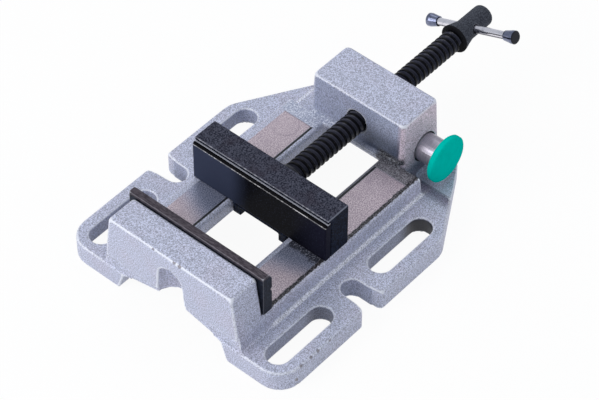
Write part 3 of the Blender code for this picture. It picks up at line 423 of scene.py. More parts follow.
# %% [markdown]
# ## The casting
# The body of the vise is one grey iron casting: a flange with slots, two rails, the fixed jaw's
# block and the screw housing. It could be modelled again by hand, but the CAD solid has the right
# shape already, so the copy is only softened. Slow, shallow waves are then pressed into the skin,
# as sand leaves them, but not into the rail tops, which are milled flat. A few chips are knocked
# out of the edges, and the mesh remembers where, so that the finish can darken them.

# %% Soften the casting and press waves and chips into it
CAST_GRAIN = 0.68 * MM
RAIL_TOP = 26.6 * MM
casting = softened("base_casting", CAST_GRAIN, 1)
place = points_of(casting)
facing = normals_of(casting)
LEVEL = 0.3 * MM
UPRIGHT = 0.9
milled = (np.abs(place[:, 2] - RAIL_TOP) < LEVEL) & (facing[:, 2] > UPRIGHT)
flat_base = place[:, 2] < LEVEL
# Each kind of wave: its length and its depth.
WAVES = ((13.0 * MM, 0.10 * MM), (3.4 * MM, 0.04 * MM))
sink = np.zeros(len(place))
for length, depth in WAVES:
    sink += [depth * (0.5 + 0.5 * noise.noise(Vector(p) / length)) for p in place]
sink[milled | flat_base] = 0.0
sink = neighbour_mean(casting, sink[:, None])[:, 0]
# Each chip: its distances from the front face, the middle and the floor, its radius and its depth.
CHIPS = (
    (0.4, 12.0, 54.4, 1.3, 0.30), (0.4, -3.6, 54.4, 1.5, 0.30), (0.4, -7.6, 54.3, 1.9, 0.35),
    (16.5, -82.3, 13.8, 2.0, 0.50), (24.6, -82.3, 13.8, 1.6, 0.40), (30.5, -82.3, 14.0, 1.8, 0.40),
    (40.6, -82.4, 13.8, 1.3, 0.30), (12.6, -82.4, 5.6, 2.4, 0.30), (13.2, -82.4, 1.0, 1.6, 0.30),
    (77.3, 60.4, 14.2, 1.2, 0.25), (190.0, 20.0, 55.4, 1.4, 0.30),
)
chipped = np.zeros(len(place))
for x, y, z, radius, depth in CHIPS:
    away = np.linalg.norm(place - np.array((FRONT + x * MM, y * MM, z * MM)), axis=1)
    near = np.clip(1 - away / (radius * MM), 0, 1)
    sink += depth * MM * near
    chipped = np.maximum(chipped, near)
place -= facing * sink[:, None]
casting.vertices.foreach_set("co", place.ravel())
casting.update()
carry_edges(casting, CAST_GRAIN)
carry(casting, "chip", chipped)
body_casting = shown("casting_skin", casting, "base", "cast_paint", "base_casting")
print("deepest dent in mm:", round(float(sink.max()) / MM, 2))

# %% [markdown]
# ## The casting's finish
# The casting is sprayed with silver hammer paint, which dries to fine lumps and is worn bright on
# its edges, and there bright highlights are painted on as well. Such a finish can be one material,
# because every change in it follows the position on the casting, so its masks are sums and
# products of the distances along and across. A mask is a number from 0 to 1 at each point of the
# skin.

# %% Mix the hammer paint
paint = Finish("silver_hammer_paint", srgb(178, 182, 203), 0.46)
x, y, z = paint.axes()
along = paint.math("SUBTRACT", x, FRONT)
across = paint.math("ABSOLUTE", y)
on_left = paint.above(y, 0.0, 1 * MM)
on_right = paint.off(on_left)
edge = paint.carried("edge")
chip = paint.carried("chip")

fine = paint.grain(0.70 * MM, 2.0, rough=0.6)
lumps = paint.grain(1.4 * MM, 2.0, shift=0.3)
slow = paint.grain(18 * MM, 3.0)
speck = paint.grain(0.8 * MM, 3.0, shift=0.9)
silver = paint.stain(srgb(181, 185, 206), paint.ramp(slow, 0.42, 0.72), 0.35, srgb(182, 176, 194))
speckle = paint.blend(paint.ramp(fine, 0.35, 0.65), 0.56, 1.36)
# The edges are lighter, partly from wear and partly as a painted highlight, and the corners are darker,
# as painted shade.
edge_wear_and_highlight = paint.ramp(paint.math("ADD", edge, paint.scaled(fine, 0.45)), 0.50, 0.90)
corner_shade = paint.scaled(paint.ramp(edge, -0.15, -0.8), 0.35)
scar = paint.ramp(paint.math("ADD", chip, paint.ragged(0.9 * MM, 0.5)), 0.30, 0.50)
print("chips:", len(CHIPS))

# %% [markdown]
# The rail tops were milled after painting, and show bare iron. The cutter came in behind the jaw
# block and stopped short of the housing. Its path was not quite parallel to the casting, so the
# strip on the right is wider, and its outer side follows the uneven skin.

# %% Mask the milled strips
BLOCK_REAR = 20.8 * MM
STRIP_INNER = 25.2 * MM
STRIP_RIGHT = 46.6 * MM
STRIP_LEFT = 45.3 * MM
STRIP_REAR = 149.0 * MM
up_to_rail = paint.below(z, RAIL_TOP + 0.575 * MM, 0.125 * MM)
uneven = paint.math("MULTIPLY", paint.ragged(2.4 * MM, 1.1 * MM), paint.blend(on_left, 1.0, 0.25))
strip_outer = paint.math("ADD", paint.blend(on_left, STRIP_RIGHT, STRIP_LEFT), uneven)
past_outer = paint.math("SUBTRACT", across, strip_outer)
before_rear = paint.below(along, STRIP_REAR, 0.3 * MM)
strip = paint.all_of(paint.above(across, STRIP_INNER, 0.15 * MM), paint.below(past_outer, 0.0, 0.2 * MM),
                     paint.above(along, BLOCK_REAR - 0.3 * MM, 0.3 * MM), before_rear,
                     paint.above(z, RAIL_TOP - 0.425 * MM, 0.125 * MM), up_to_rail)
print("milled length in mm:", round((STRIP_REAR - BLOCK_REAR) / MM, 1))

# %% [markdown]
# The black scale of the casting is left beside the strips. On the right it is a ragged border up
# to the rail's outer edge, and on the inner edges it is a thin dark line, which on the right starts
# under the moving jaw. Below that line the wall rolls over into the well. Behind the strips a rough
# sill leads up to the housing, and a bright line, a painted highlight, runs along the foot of each
# rail.

# %% Mask the borders of the strips
FLANGE_TOP = 14.6 * MM
HOUSING_FRONT = 161.0 * MM
SCALE_OUTER = 49.0 * MM
ROLL_INNER = 19.0 * MM
LINE_WIDTH = 1.5 * MM
RAIL_FOOT = 52.25 * MM
LINE_START = 82.0 * MM
past_block = paint.above(along, BLOCK_REAR + 0.3 * MM, 0.3 * MM)
scale_edge = paint.math("ADD", across, paint.ragged(1.6 * MM, 0.9 * MM, 0.7))
scale_right = paint.all_of(past_block, on_right, paint.above(past_outer, 0.0, 0.2 * MM),
                           paint.below(scale_edge, SCALE_OUTER, 0.3 * MM),
                           paint.above(z, RAIL_TOP - 0.75 * MM, 0.2 * MM), up_to_rail)
line_end = STRIP_INNER - 0.1 * MM
line_inner = paint.all_of(past_block, before_rear, up_to_rail,
                          paint.math("MAXIMUM", on_left, paint.above(along, LINE_START, 2 * MM)),
                          paint.band(across, line_end - LINE_WIDTH, line_end, 0.2 * MM),
                          paint.above(z, RAIL_TOP - 1.2 * MM, 0.2 * MM))
roll = paint.all_of(past_block, paint.below(along, HOUSING_FRONT, 1 * MM),
                    paint.band(across, ROLL_INNER, STRIP_INNER, 0.3 * MM),
                    paint.above(z, 18 * MM, 2 * MM), up_to_rail)
sill = paint.all_of(paint.above(along, STRIP_REAR + 0.1 * MM, 0.3 * MM),
                    paint.below(along, HOUSING_FRONT + 1 * MM, 1 * MM),
                    paint.below(across, SCALE_OUTER - 0.5 * MM, 0.5 * MM),
                    paint.above(z, RAIL_TOP - 1.0 * MM, 0.2 * MM),
                    paint.below(z, RAIL_TOP + 3.25 * MM, 1.75 * MM))
# A painted highlight along the foot of each rail.
rail_foot_highlight = paint.all_of(paint.band(across, RAIL_FOOT - 0.95 * MM, RAIL_FOOT + 0.95 * MM, 0.3 * MM),
                    paint.above(along, 27 * MM, 3 * MM),
                    paint.band(z, FLANGE_TOP - 0.2 * MM, FLANGE_TOP + 2.6 * MM, 0.3 * MM))
print("sill in mm:", round((HOUSING_FRONT - STRIP_REAR) / MM, 1))

# %% [markdown]
# The paint takes on the colours round it, which plain lamps don't give it, so some reflected light
# and shade is painted on. The housing's right wall has a painted pink reflection, its front is
# painted bluer and darker, with painted shade beside the screw, and the scoop under the plunger is
# painted a dull violet shade. A dark ring is painted round the plunger. The top and the rear named
# here lie just inside the real ones, so that the masks end on the rounded edges.

# %% Mask the faces of the housing
HOUSING_REAR = 192.0 * MM
HOUSING_TOP = 55.2 * MM
WALL_INSIDE = 30.5 * MM
past_wall = paint.below(y, -WALL_INSIDE, 0.5 * MM)
wall_of_housing = paint.all_of(past_wall, paint.above(along, HOUSING_FRONT - 2 * MM, 1 * MM),
                               paint.below(along, HOUSING_REAR - 0.5 * MM, 1.5 * MM),
                               paint.above(z, 21 * MM, 3 * MM), paint.below(z, HOUSING_TOP, 0.4 * MM))
face_of_housing = paint.all_of(paint.band(along, 150 * MM, HOUSING_FRONT + 3 * MM, 1 * MM),
                               paint.band(z, RAIL_TOP + 0.3 * MM, HOUSING_TOP - 0.6 * MM, 0.5 * MM),
                               paint.below(across, WALL_INSIDE + 1.75 * MM, 0.75 * MM))
shade_of_screw = paint.all_of(face_of_housing, paint.below(y, -7 * MM, 5 * MM),
                              paint.below(z, 43 * MM, 9 * MM))
scoop = paint.all_of(paint.band(along, HOUSING_FRONT - 1 * MM, HOUSING_REAR, 4 * MM),
                     paint.below(y, -36 * MM, 2 * MM), paint.below(z, 21 * MM, 3 * MM),
                     paint.above(z, 13 * MM, 0.6 * MM))
bore_low, bore_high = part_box("release_plunger")
bore_radius = (bore_high.z - bore_low.z) / 2
from_bore = paint.distance(paint.math("SUBTRACT", x, (bore_low.x + bore_high.x) / 2),
                           paint.math("SUBTRACT", z, (bore_low.z + bore_high.z) / 2))
ring = paint.all_of(paint.below(from_bore, bore_radius + 0.85 * MM, 0.25 * MM), past_wall)
print("plunger radius in mm:", round(bore_radius / MM, 2))

# %% [markdown]
# Less light reaches the walls inside the slots, and least the rear end of the slot on the right.
# The walls of the well are open to the sky and look blue. Both are painted on too, since the light
# of the scene alone doesn't show them.

# %% Mask the walls of the slots and of the well
hidden = paint.all_of(paint.below(z, FLANGE_TOP - 1.05 * MM, 0.35 * MM),
                      paint.band(across, 55 * MM, 76 * MM, 1 * MM),
                      paint.band(along, 8 * MM, 147 * MM, 1 * MM))
slot_end = paint.all_of(hidden, on_right, paint.above(along, 132 * MM, 8 * MM))
slot_turn = paint.all_of(hidden, on_right, paint.above(along, 48 * MM, 6 * MM),
                         paint.below(along, 62 * MM, 2 * MM))
well = paint.all_of(paint.below(across, 20 * MM, 0.2 * MM), paint.below(z, 22.5 * MM, 2.5 * MM),
                    paint.above(along, 24 * MM, 2 * MM), paint.below(along, 165 * MM, 1 * MM))
print("paint nodes for the masks:", len(paint.tree.nodes))

# %% [markdown]
# Freshly milled iron looks slightly pink. In front of the moving jaw it is painted blue and darker,
# a painted reflection and shade of the dark jaw, and at the foot of the jaw's right end it is dirty
# with filings. The cutter left a round mark where it was lifted, and a darker last cut at the rear.

# %% Colour the bare iron
bare = paint.mottled(fine, 0.36, 0.64, (132, 119, 131), (204, 190, 198))
bare = paint.stain(bare, paint.ramp(paint.grain(7 * MM, 4.0), 0.45, 0.8), 0.5, srgb(150, 137, 150))
slanted = paint.math("SUBTRACT", along, paint.scaled(across, 0.35))
# In front of the moving jaw: a painted reflection and shade of the jaw.
jaw_reflection = paint.all_of(paint.above(slanted, 44 * MM, 9 * MM), paint.below(along, 77 * MM, 3 * MM))
bare = paint.stain(bare, jaw_reflection, 0.9, paint.mottled(fine, 0.38, 0.62, (92, 101, 126), (160, 168, 194)))
CUTTER_RADIUS = 8.2 * MM
arc_x = paint.math("SUBTRACT", along, 140 * MM)
arc_y = paint.math("SUBTRACT", across, 37 * MM)
cutter = paint.all_of(paint.band(paint.distance(arc_x, arc_y), CUTTER_RADIUS - 0.3 * MM,
                                 CUTTER_RADIUS + 0.3 * MM, 0.3 * MM),
                      paint.below(paint.math("ADD", arc_x, arc_y), 0.0, 3 * MM))
bare = paint.mix(paint.math("MULTIPLY", cutter, paint.blend(on_left, 0.15, 0.45)), bare,
                 srgb(104, 96, 110))
filings_edge = paint.math("ADD", along, paint.ragged(3 * MM, 4 * MM, 0.5))
filings = paint.all_of(on_right, paint.below(along, 79 * MM, 1 * MM),
                       paint.above(filings_edge, 69.5 * MM, 1.5 * MM))
bare = paint.stain(bare, filings, 0.85, paint.mottled(speck, 0.52, 0.66, (22, 23, 34), (170, 172, 190)))
last_cut = paint.above(along, STRIP_REAR - 0.7 * MM, 0.2 * MM)
bare = paint.stain(bare, last_cut, 0.5, srgb(104, 98, 110))
print("cutter mark in mm across:", round(2 * CUTTER_RADIUS / MM, 1))

# %% [markdown]
# Scale is nearly black with grey specks. On the sill and on the far part of the rolled edge it is
# mixed with paint, and there it is painted in shade on the right, darkest at the housing's foot,
# and painted lit and pale on the left.

# %% Colour the scale
scale = paint.mottled(speck, 0.46, 0.66, (18, 18, 24), (118, 114, 122))
line = paint.mottled(speck, 0.55, 0.8, (10, 11, 18), (70, 76, 96))
# Scale mixed with paint: painted lit on the left, painted in shade on the right.
scale_in_light = paint.mottled(speck, 0.42, 0.62, (136, 146, 174), (226, 230, 242))
scale_in_shade = paint.stain(paint.mottled(speck, 0.36, 0.66, (70, 68, 76), (140, 138, 146)),
                   paint.above(along, 156.5 * MM, 3.5 * MM), 0.8,
                   paint.mottled(speck, 0.44, 0.7, (16, 18, 26), (120, 124, 136)))
print("scale border in mm:", round((SCALE_OUTER - STRIP_RIGHT) / MM, 1))

# %% [markdown]
# Now the layers go on in the order of the real ones. The tints of painted light and shade come
# first, and the speckle is multiplied over them, because a tint laid over the speckle would hide
# it. Then come painted shade in the corners, wear and painted highlights on the edges, the scars,
# the scale, the milled iron, and last a few painted glints on the rear top edge of the jaw block.

# %% Lay paint, scale and iron over each other
violet = paint.mix(paint.above(along, 184 * MM, 6 * MM), srgb(84, 72, 98), srgb(150, 104, 132))
# Each tint is painted light or shade: a painted highlight along the rails' feet, painted light on the
# rolled edge on the left, painted reflections on the housing's right wall and in the well, and painted
# shade on the housing's front, beside the screw, in the slots and in the scoop.
TINTS = (
    (rail_foot_highlight, 0.55, srgb(240, 242, 250)),
    (wall_of_housing, 0.65, srgb(220, 198, 208)),
    (face_of_housing, 0.5, srgb(128, 140, 172)),
    (shade_of_screw, 0.85, srgb(46, 57, 80)),
    (hidden, 0.4, srgb(84, 98, 136)),
    (slot_turn, 0.5, srgb(40, 44, 56)),
    (slot_end, 0.97, srgb(14, 16, 30)),
    (well, 0.6, srgb(150, 184, 228)),
    (paint.all_of(roll, on_left), 0.6, srgb(222, 225, 246)),
    (scoop, 0.75, violet),
)
for mask, share, shade in TINTS:
    silver = paint.stain(silver, mask, share, shade)
silver = paint.tint(silver, speckle)
silver = paint.mix(corner_shade, silver, srgb(112, 118, 142))
silver = paint.stain(silver, edge_wear_and_highlight, 0.85, srgb(226, 229, 239))
silver = paint.mix(scar, silver, paint.mix(fine, srgb(84, 82, 92), srgb(176, 172, 178)))
silver = paint.mix(ring, silver, srgb(18, 18, 24))
far_right = paint.all_of(on_right, paint.above(along, 95 * MM, 7 * MM))
colour = paint.stain(silver, paint.all_of(roll, far_right), 0.85, scale_in_shade)
colour = paint.mix(paint.all_of(sill, paint.below(y, -17.5 * MM, 2.5 * MM)), colour, scale_in_shade)
colour = paint.stain(colour, paint.all_of(sill, on_left), 0.7, scale_in_light)
for mask, layer in ((line_inner, line), (scale_right, scale), (strip, bare)):
    colour = paint.mix(mask, colour, layer)
# A few painted glints on the rear top edge of the jaw block.
glints = paint.all_of(paint.band(along, BLOCK_REAR - 0.8 * MM, BLOCK_REAR + 0.8 * MM, 0.2 * MM),
                      paint.above(z, 54.2 * MM, 0.2 * MM),
                      paint.ramp(paint.grain(2.0 * MM, 3.0, shift=1.3), 0.60, 0.66))
paint.feed("Base Color", paint.mix(glints, colour, srgb(236, 238, 244)))
paint.feed("Roughness", paint.blend(strip, paint.blend(fine, 0.38, 0.55), 0.36))
paint.feed("Metallic", paint.blend(strip, 0.10, 0.40))
paint.bump(paint.math("MULTIPLY", lumps, paint.off(strip)), 0.05 * MM, 0.5)
paint.bump(fine, 0.04 * MM, 0.5)
paint.bump(paint.math("MULTIPLY", speck, paint.math("MAXIMUM", scale_right, sill)), 0.3 * MM, 0.8)
body_casting.data.materials.append(paint.material)
print("paint nodes:", len(paint.tree.nodes))

# %% [markdown]
# ## The screw
# The CAD screw is a plain bar. The real one has a trapezoid thread with a pitch of 4 mm. A thread
# is one profile that climbs by one pitch in each turn, so the mesh is a net of points whose rows
# shift by one pitch where the net closes. Both ends are then cut square, and the journal and the
# stem are drawn out of the cuts.

# %% Cut the thread
PITCH = 4.0 * MM
CREST = 7.0 * MM
ROOT = 4.85 * MM
SCREW_Z = 39.4 * MM
TURN = 48
spindle_low, spindle_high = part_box("screw_spindle")
THREAD_START = FRONT + 102.8 * MM
THREAD_END = FRONT + 250.4 * MM
SPARE_TURNS = 4
# One pitch of the profile: the distance along the screw in mm, and the radius there.
tooth = ((0.0, ROOT), (1.16, ROOT), (1.32, ROOT + 0.08 * MM), (1.84, CREST - 0.16 * MM),
         (2.02, CREST), (3.26, CREST), (3.44, CREST - 0.16 * MM), (3.90, ROOT + 0.08 * MM))
turns = int((THREAD_END - THREAD_START) / PITCH) + SPARE_TURNS
work = bmesh.new()
columns = []
for step in range(TURN):
    angle = 2 * math.pi * step / TURN
    line = []
    for turn_number in range(turns):
        start = THREAD_START + PITCH * (turn_number - SPARE_TURNS / 2 + step / TURN)
        for offset, radius in tooth:
            spot = (start + offset * MM, radius * math.cos(angle), SCREW_Z + radius * math.sin(angle))
            line.append(work.verts.new(spot))
    columns.append(line)
teeth = len(tooth)
for step in range(TURN):
    here = columns[step]
    wraps = step == TURN - 1
    there = columns[0] if wraps else columns[step + 1]
    shift = teeth if wraps else 0
    for row in range(len(here) - 1 - shift):
        quad = (here[row], here[row + 1], there[row + 1 + shift], there[row + shift])
        work.faces.new(quad).smooth = True


def draw_out(work, x, stages):
    """Cuts the thread square at x and draws its edge out through (station, radius) pairs."""
    side = -1 if stages[0][0] <= x and stages[-1][0] < x else 1
    everything = list(work.verts) + list(work.edges) + list(work.faces)
    bmesh.ops.bisect_plane(work, geom=everything, plane_co=(x, 0, 0), plane_no=(side, 0, 0),
                           clear_outer=True)
    rim = [e for e in work.edges if e.is_boundary and all(abs(v.co.x - x) < NEAR for v in e.verts)]
    for station, radius in stages:
        grown = bmesh.ops.extrude_edge_only(work, edges=rim)["geom"]
        for vert in (g for g in grown if isinstance(g, bmesh.types.BMVert)):
            arm = Vector((0, vert.co.y, vert.co.z - SCREW_Z)).normalized() * radius
            vert.co = (station, arm.y, SCREW_Z + arm.z)
        rim = [g for g in grown if isinstance(g, bmesh.types.BMEdge)]
    bmesh.ops.contextual_create(work, geom=rim)


JOURNAL = 4.5 * MM
BREAK = 0.6 * MM
tip = spindle_low.x
stem = spindle_high.x
draw_out(work, THREAD_START, ((THREAD_START, JOURNAL), (tip + BREAK, JOURNAL), (tip, JOURNAL - BREAK)))
draw_out(work, THREAD_END, ((THREAD_END, JOURNAL), (stem - BREAK, JOURNAL), (stem, JOURNAL - BREAK)))
bmesh.ops.remove_doubles(work, verts=work.verts, dist=NEAR)
bmesh.ops.recalc_face_normals(work, faces=work.faces)
thread = bpy.data.meshes.new("thread")
work.to_mesh(thread)
open_edges = sum(1 for e in work.edges if not e.is_manifold)
work.free()
threaded = shown("threaded_screw", thread, "spindle", "black_thread", "screw_spindle")
print("thread faces:", len(thread.polygons), "open edges:", open_edges)

# %% [markdown]
# The screw is blackened with oxide and wet with oil. The crests are black, and the grooves are
# painted a little greyer, a painted reflection of the light in them. Such a colour can follow the
# distance from the screw's axis.

# %% Finish the thread with oily black oxide
oxide = Finish("black_oxide_thread", (0.004, 0.004, 0.006), 0.16)
oxide.dull(0.07)
wet = oxide.grain(9 * MM, 3.0)
oxide.feed("Roughness", oxide.blend(oxide.ramp(wet, 0.35, 0.7), 0.08, 0.16))
x, y, z = oxide.axes()
radius = oxide.distance(y, oxide.math("SUBTRACT", z, SCREW_Z))
# Greyer grooves: a painted reflection.
groove = oxide.below(radius, CREST - 0.45 * MM, 0.25 * MM)
oxide.feed("Base Color", oxide.mix(groove, (0.0015, 0.0015, 0.003), (0.045, 0.047, 0.068)))
oxide.bump(oxide.grain(0.5 * MM, 2.0, (1.0, 0.2, 0.2)), 0.02 * MM, 0.5)
threaded.data.materials.append(oxide.material)
print("depth of the thread in mm:", round((CREST - ROOT) / MM, 2))

# %% [markdown]
# ## The jaws
# The moving jaw and both jaw plates are black steel. Their edges are only broken, so they are
# rebuilt with a fine grain and rubbed once. The finish is a satin black with grey lines painted
# along the edges, where they are worn and catch the light. The mesh carries edge numbers, which
# only the fixed plate's finish reads.

# %% Soften the moving jaw and the two plates
JAW_GRAIN = 0.6 * MM
PLATE_GRAIN = 0.5 * MM
jaw_mesh = softened("moving_jaw", JAW_GRAIN, 1)
carry_edges(jaw_mesh, JAW_GRAIN)
jaw_block = shown("moving_jaw_block", jaw_mesh, "moving_jaw", "black_jaw", "moving_jaw")
plates = []
for node, body, name in (("fixed_jaw_plate", "base", "front_plate"),
                         ("moving_jaw_plate", "moving_jaw", "rear_plate")):
    plate_mesh = softened(node, PLATE_GRAIN, 1)
    carry_edges(plate_mesh, PLATE_GRAIN)
    plates.append(shown(name, plate_mesh, body, "black_plate", node))

# %% [markdown]
# The jaw's top is mottled, as a steel face is after years of oil and filings. Below its top edge
# the block is darker and bluer. Its front stands a step behind the plate's face.

# %% Finish the moving jaw
MOVING_FACE = 73.9 * MM
STEP_FACE = 76.1 * MM
JAW_TOP = 58.2 * MM
JAW_SIDE = 50.0 * MM
satin = Finish("satin_black_jaw", srgb(52, 54, 68), 0.5)
satin.dull(0.03)
x, y, z = satin.axes()
along = satin.math("SUBTRACT", x, FRONT)
spots = satin.grain(0.75 * MM, 2.0, rough=0.6)
clouds = satin.grain(12 * MM, 3.0)
tone = satin.mottled(spots, 0.38, 0.62, (28, 30, 42), (78, 80, 94))
tone = satin.stain(tone, satin.ramp(clouds, 0.45, 0.8), 0.6, srgb(52, 46, 56))
deep = satin.mottled(spots, 0.42, 0.68, (6, 8, 20), (38, 46, 66))
tone = satin.mix(satin.below(z, JAW_TOP - 0.6 * MM, 0.3 * MM), tone, deep)
print("step of the jaw in mm behind the plate's face:", round((STEP_FACE - MOVING_FACE) / MM, 2))

# %% [markdown]
# Bright lines are painted along the edges of the jaw's top, where the steel is scratched by the
# work put down on it and catches the light. The line along the front is broken into dots, and the
# one at the right end is thin and even.

# %% Paint bright lines on the jaw's edges
dots = satin.ramp(satin.grain(2.6 * MM, 4.0, shift=0.4), 0.44, 0.6)
front_line = satin.all_of(satin.below(along, STEP_FACE + 0.6 * MM, 0.15 * MM),
                          satin.above(z, JAW_TOP - 0.75 * MM, 0.15 * MM))
end_line = satin.all_of(satin.below(y, 0.55 * MM - JAW_SIDE, 0.15 * MM),
                        satin.above(z, JAW_TOP - 0.7 * MM, 0.2 * MM))
tone = satin.mix(satin.math("MULTIPLY", front_line, satin.blend(dots, 0.35, 0.95)), tone,
                 srgb(150, 150, 160))
tone = satin.stain(tone, end_line, 0.7, srgb(128, 132, 146))
satin.feed("Base Color", tone)
satin.feed("Roughness", satin.blend(satin.ramp(spots, 0.3, 0.8), 0.42, 0.6))
satin.bump(spots, 0.02 * MM, 0.6)
jaw_block.data.materials.append(satin.material)
print("jaw nodes:", len(satin.tree.nodes))

# %% [markdown]
# The moving plate is ground and blued nearly black. Across its face a painted reflection makes the
# left end lighter and bluer, and the middle is darkest, a painted shadow; above the bevel's foot it
# is nearly black. Only its upper edges catch the light, as painted highlights: one even line where
# the plate meets the jaw, and one broken line along the bevel, with a bright streak near its right
# end.

# %% Finish the moving plate
PLATE_TOP = 55.4 * MM
STREAK_START = -36 * MM
STREAK_END = -27 * MM
blued = Finish("blued_plate", srgb(10, 10, 16), 0.4)
blued.dull(0.02)
x, y, z = blued.axes()
along = blued.math("SUBTRACT", x, FRONT)
dust = blued.grain(1.0 * MM, 3.0, rough=0.6)
# Painted reflection on the left end of the face, painted shadow in the middle.
night = blued.mix(blued.below(y, -33 * MM, 13 * MM), srgb(4, 4, 9), srgb(22, 22, 36))
night = blued.mix(blued.above(y, 15 * MM, 9 * MM), night, srgb(52, 58, 78))
night = blued.stain(night, blued.ramp(dust, 0.5, 0.75), 0.35, srgb(64, 68, 86))
bevel_foot = PLATE_TOP - 1.3 * MM
top_line = blued.all_of(blued.above(z, PLATE_TOP - 0.4 * MM, 0.1 * MM),
                        blued.above(along, STEP_FACE - 0.35 * MM, 0.1 * MM))
low_line = blued.all_of(blued.band(z, bevel_foot - 0.5 * MM, bevel_foot, 0.15 * MM),
                        blued.below(along, MOVING_FACE + 0.45 * MM, 0.15 * MM))
broken = blued.blend(blued.ramp(blued.grain(1.6 * MM, 4.0, shift=0.2), 0.5, 0.62), 0.3, 0.9)
streak = blued.band(y, STREAK_START, STREAK_END, 0.6 * MM)
night = blued.mix(blued.above(z, bevel_foot, 0.2 * MM), night, srgb(7, 7, 12))
night = blued.stain(night, top_line, 0.8, srgb(190, 192, 204))
night = blued.mix(blued.math("MULTIPLY", low_line, blued.math("MAXIMUM", broken, streak)), night,
                  srgb(210, 208, 210))
blued.feed("Base Color", night)
blued.feed("Roughness", blued.blend(dust, 0.34, 0.5))
blued.bump(dust, 0.02 * MM, 0.5)
plates[1].data.materials.append(blued.material)
print("bright streak on the bevel in mm:", round((STREAK_END - STREAK_START) / MM, 1))

# %% [markdown]
# The fixed plate is ground steel too, but browned. Its groove and its ends are nearly black, and
# its top, which stands above the casting's block, is painted a lighter brown-grey, a painted sheen.
# Its edges are painted light grey, partly wear and partly painted highlight.

# %% Finish the fixed plate
BLOCK_TOP = 55.1 * MM
GRIND_WIDTH = 0.8 * MM
GRIND_LENGTH = 3.2 * MM
ground = Finish("browned_plate", srgb(34, 36, 46), 0.4, 0.2)
ground.dull(0.06)
lines = ground.grain(GRIND_WIDTH, 3.0, (1.0, GRIND_WIDTH / GRIND_LENGTH, 1.0), 0.6)
x, y, z = ground.axes()
tone = ground.mottled(lines, 0.38, 0.68, (24, 27, 36), (48, 54, 68))
# The top is painted lighter, a painted sheen.
tone = ground.mix(ground.above(z, BLOCK_TOP, 0.2 * MM), tone,
                  ground.mottled(lines, 0.36, 0.66, (56, 51, 58), (86, 80, 87)))
# Edges painted light grey: partly wear, partly painted highlight.
tone = ground.mix(ground.ramp(ground.carried("edge"), 0.45, 0.9), tone, srgb(150, 150, 158))
ground.feed("Base Color", tone)
ground.feed("Roughness", ground.blend(lines, 0.30, 0.5))
ground.bump(lines, 0.03 * MM, 0.6)
plates[0].data.materials.append(ground.material)
print("fixed plate nodes:", len(ground.tree.nodes))

# %% [markdown]
# ## The handle
# The head on the end of the screw is a rough charcoal casting. A bright steel bar slides through
# it, and a cap is pressed on each end of the bar.

# %% Roughen the head
HEAD_GRAIN = 0.45 * MM
head_mesh = softened("tee_head", HEAD_GRAIN, 2)
place = points_of(head_mesh)
facing = normals_of(head_mesh)
low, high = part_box("tee_head")
PIT_SIZE = 2.1 * MM
PIT_DEPTH = 0.16 * MM
pits = np.array([PIT_DEPTH * (0.5 + 0.5 * noise.noise(Vector(p) / PIT_SIZE)) for p in place])
place = np.clip(place - facing * pits[:, None], np.array(low), np.array(high))
head_mesh.vertices.foreach_set("co", place.ravel())
head_mesh.update()
carry_edges(head_mesh, HEAD_GRAIN)
head = shown("cast_head", head_mesh, "spindle", "charcoal_iron", "tee_head")
sand = Finish("charcoal_sand_casting", srgb(62, 66, 75), 0.75, 0.15)
sand.dull(0.15)
pores = sand.grain(0.8 * MM, 4.0)
tone = sand.mottled(pores, 0.35, 0.7, (48, 51, 60), (84, 88, 98))
tone = sand.mix(sand.ramp(sand.carried("edge"), 0.2, 0.9), tone, srgb(112, 114, 122))
x, y, z = sand.axes()
tone = sand.mix(sand.below(x, low.x + 1.35 * MM, 0.15 * MM), tone, srgb(14, 14, 19))
sand.feed("Base Color", tone)
sand.bump(pores, 0.20 * MM, 0.8)
head.data.materials.append(sand.material)

# %% [markdown]
# The bar is bright steel. Its underside is painted dark, a painted reflection of the dark vise, and
# its caps are darker steel with rough, nearly black end faces and a dark seam where the bar enters.
# The bar is tilted, so its finish follows the distance along it and the height over its centre
# line.

# %% Finish the bar and its caps
BAR_TILT = math.radians(21.3)
CAP_RADIUS = 4.2 * MM
bar_low, bar_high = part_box("tommy_bar")
bar_middle = (bar_low + bar_high) / 2


def bar_frame(finish):
    """How far a point lies along the tilted bar, and how far above its centre line."""
    x, y, z = finish.axes()
    aside = finish.math("SUBTRACT", y, bar_middle.y)
    over = finish.math("SUBTRACT", z, bar_middle.z)
    along_bar = finish.math("SUBTRACT", finish.scaled(aside, math.cos(BAR_TILT)),
                            finish.scaled(over, math.sin(BAR_TILT)))
    height = finish.math("ADD", finish.scaled(aside, math.sin(BAR_TILT)),
                         finish.scaled(over, math.cos(BAR_TILT)))
    return along_bar, height


chrome = Finish("bright_bar", srgb(214, 214, 222), 0.16, 1.0)
streaks = chrome.grain(0.5 * MM, 3.0)
chrome.feed("Roughness", chrome.blend(streaks, 0.10, 0.26))
bright = chrome.mottled(chrome.grain(4 * MM, 3.0), 0.5, 0.8, (232, 230, 238), (190, 190, 202))
along_bar, height = bar_frame(chrome)
# The dark underside is a painted reflection.
chrome.feed("Base Color", chrome.mix(chrome.below(height, -0.3 * MM, 0.5 * MM), bright, srgb(48, 46, 62)))
coat("tommy_bar", chrome)

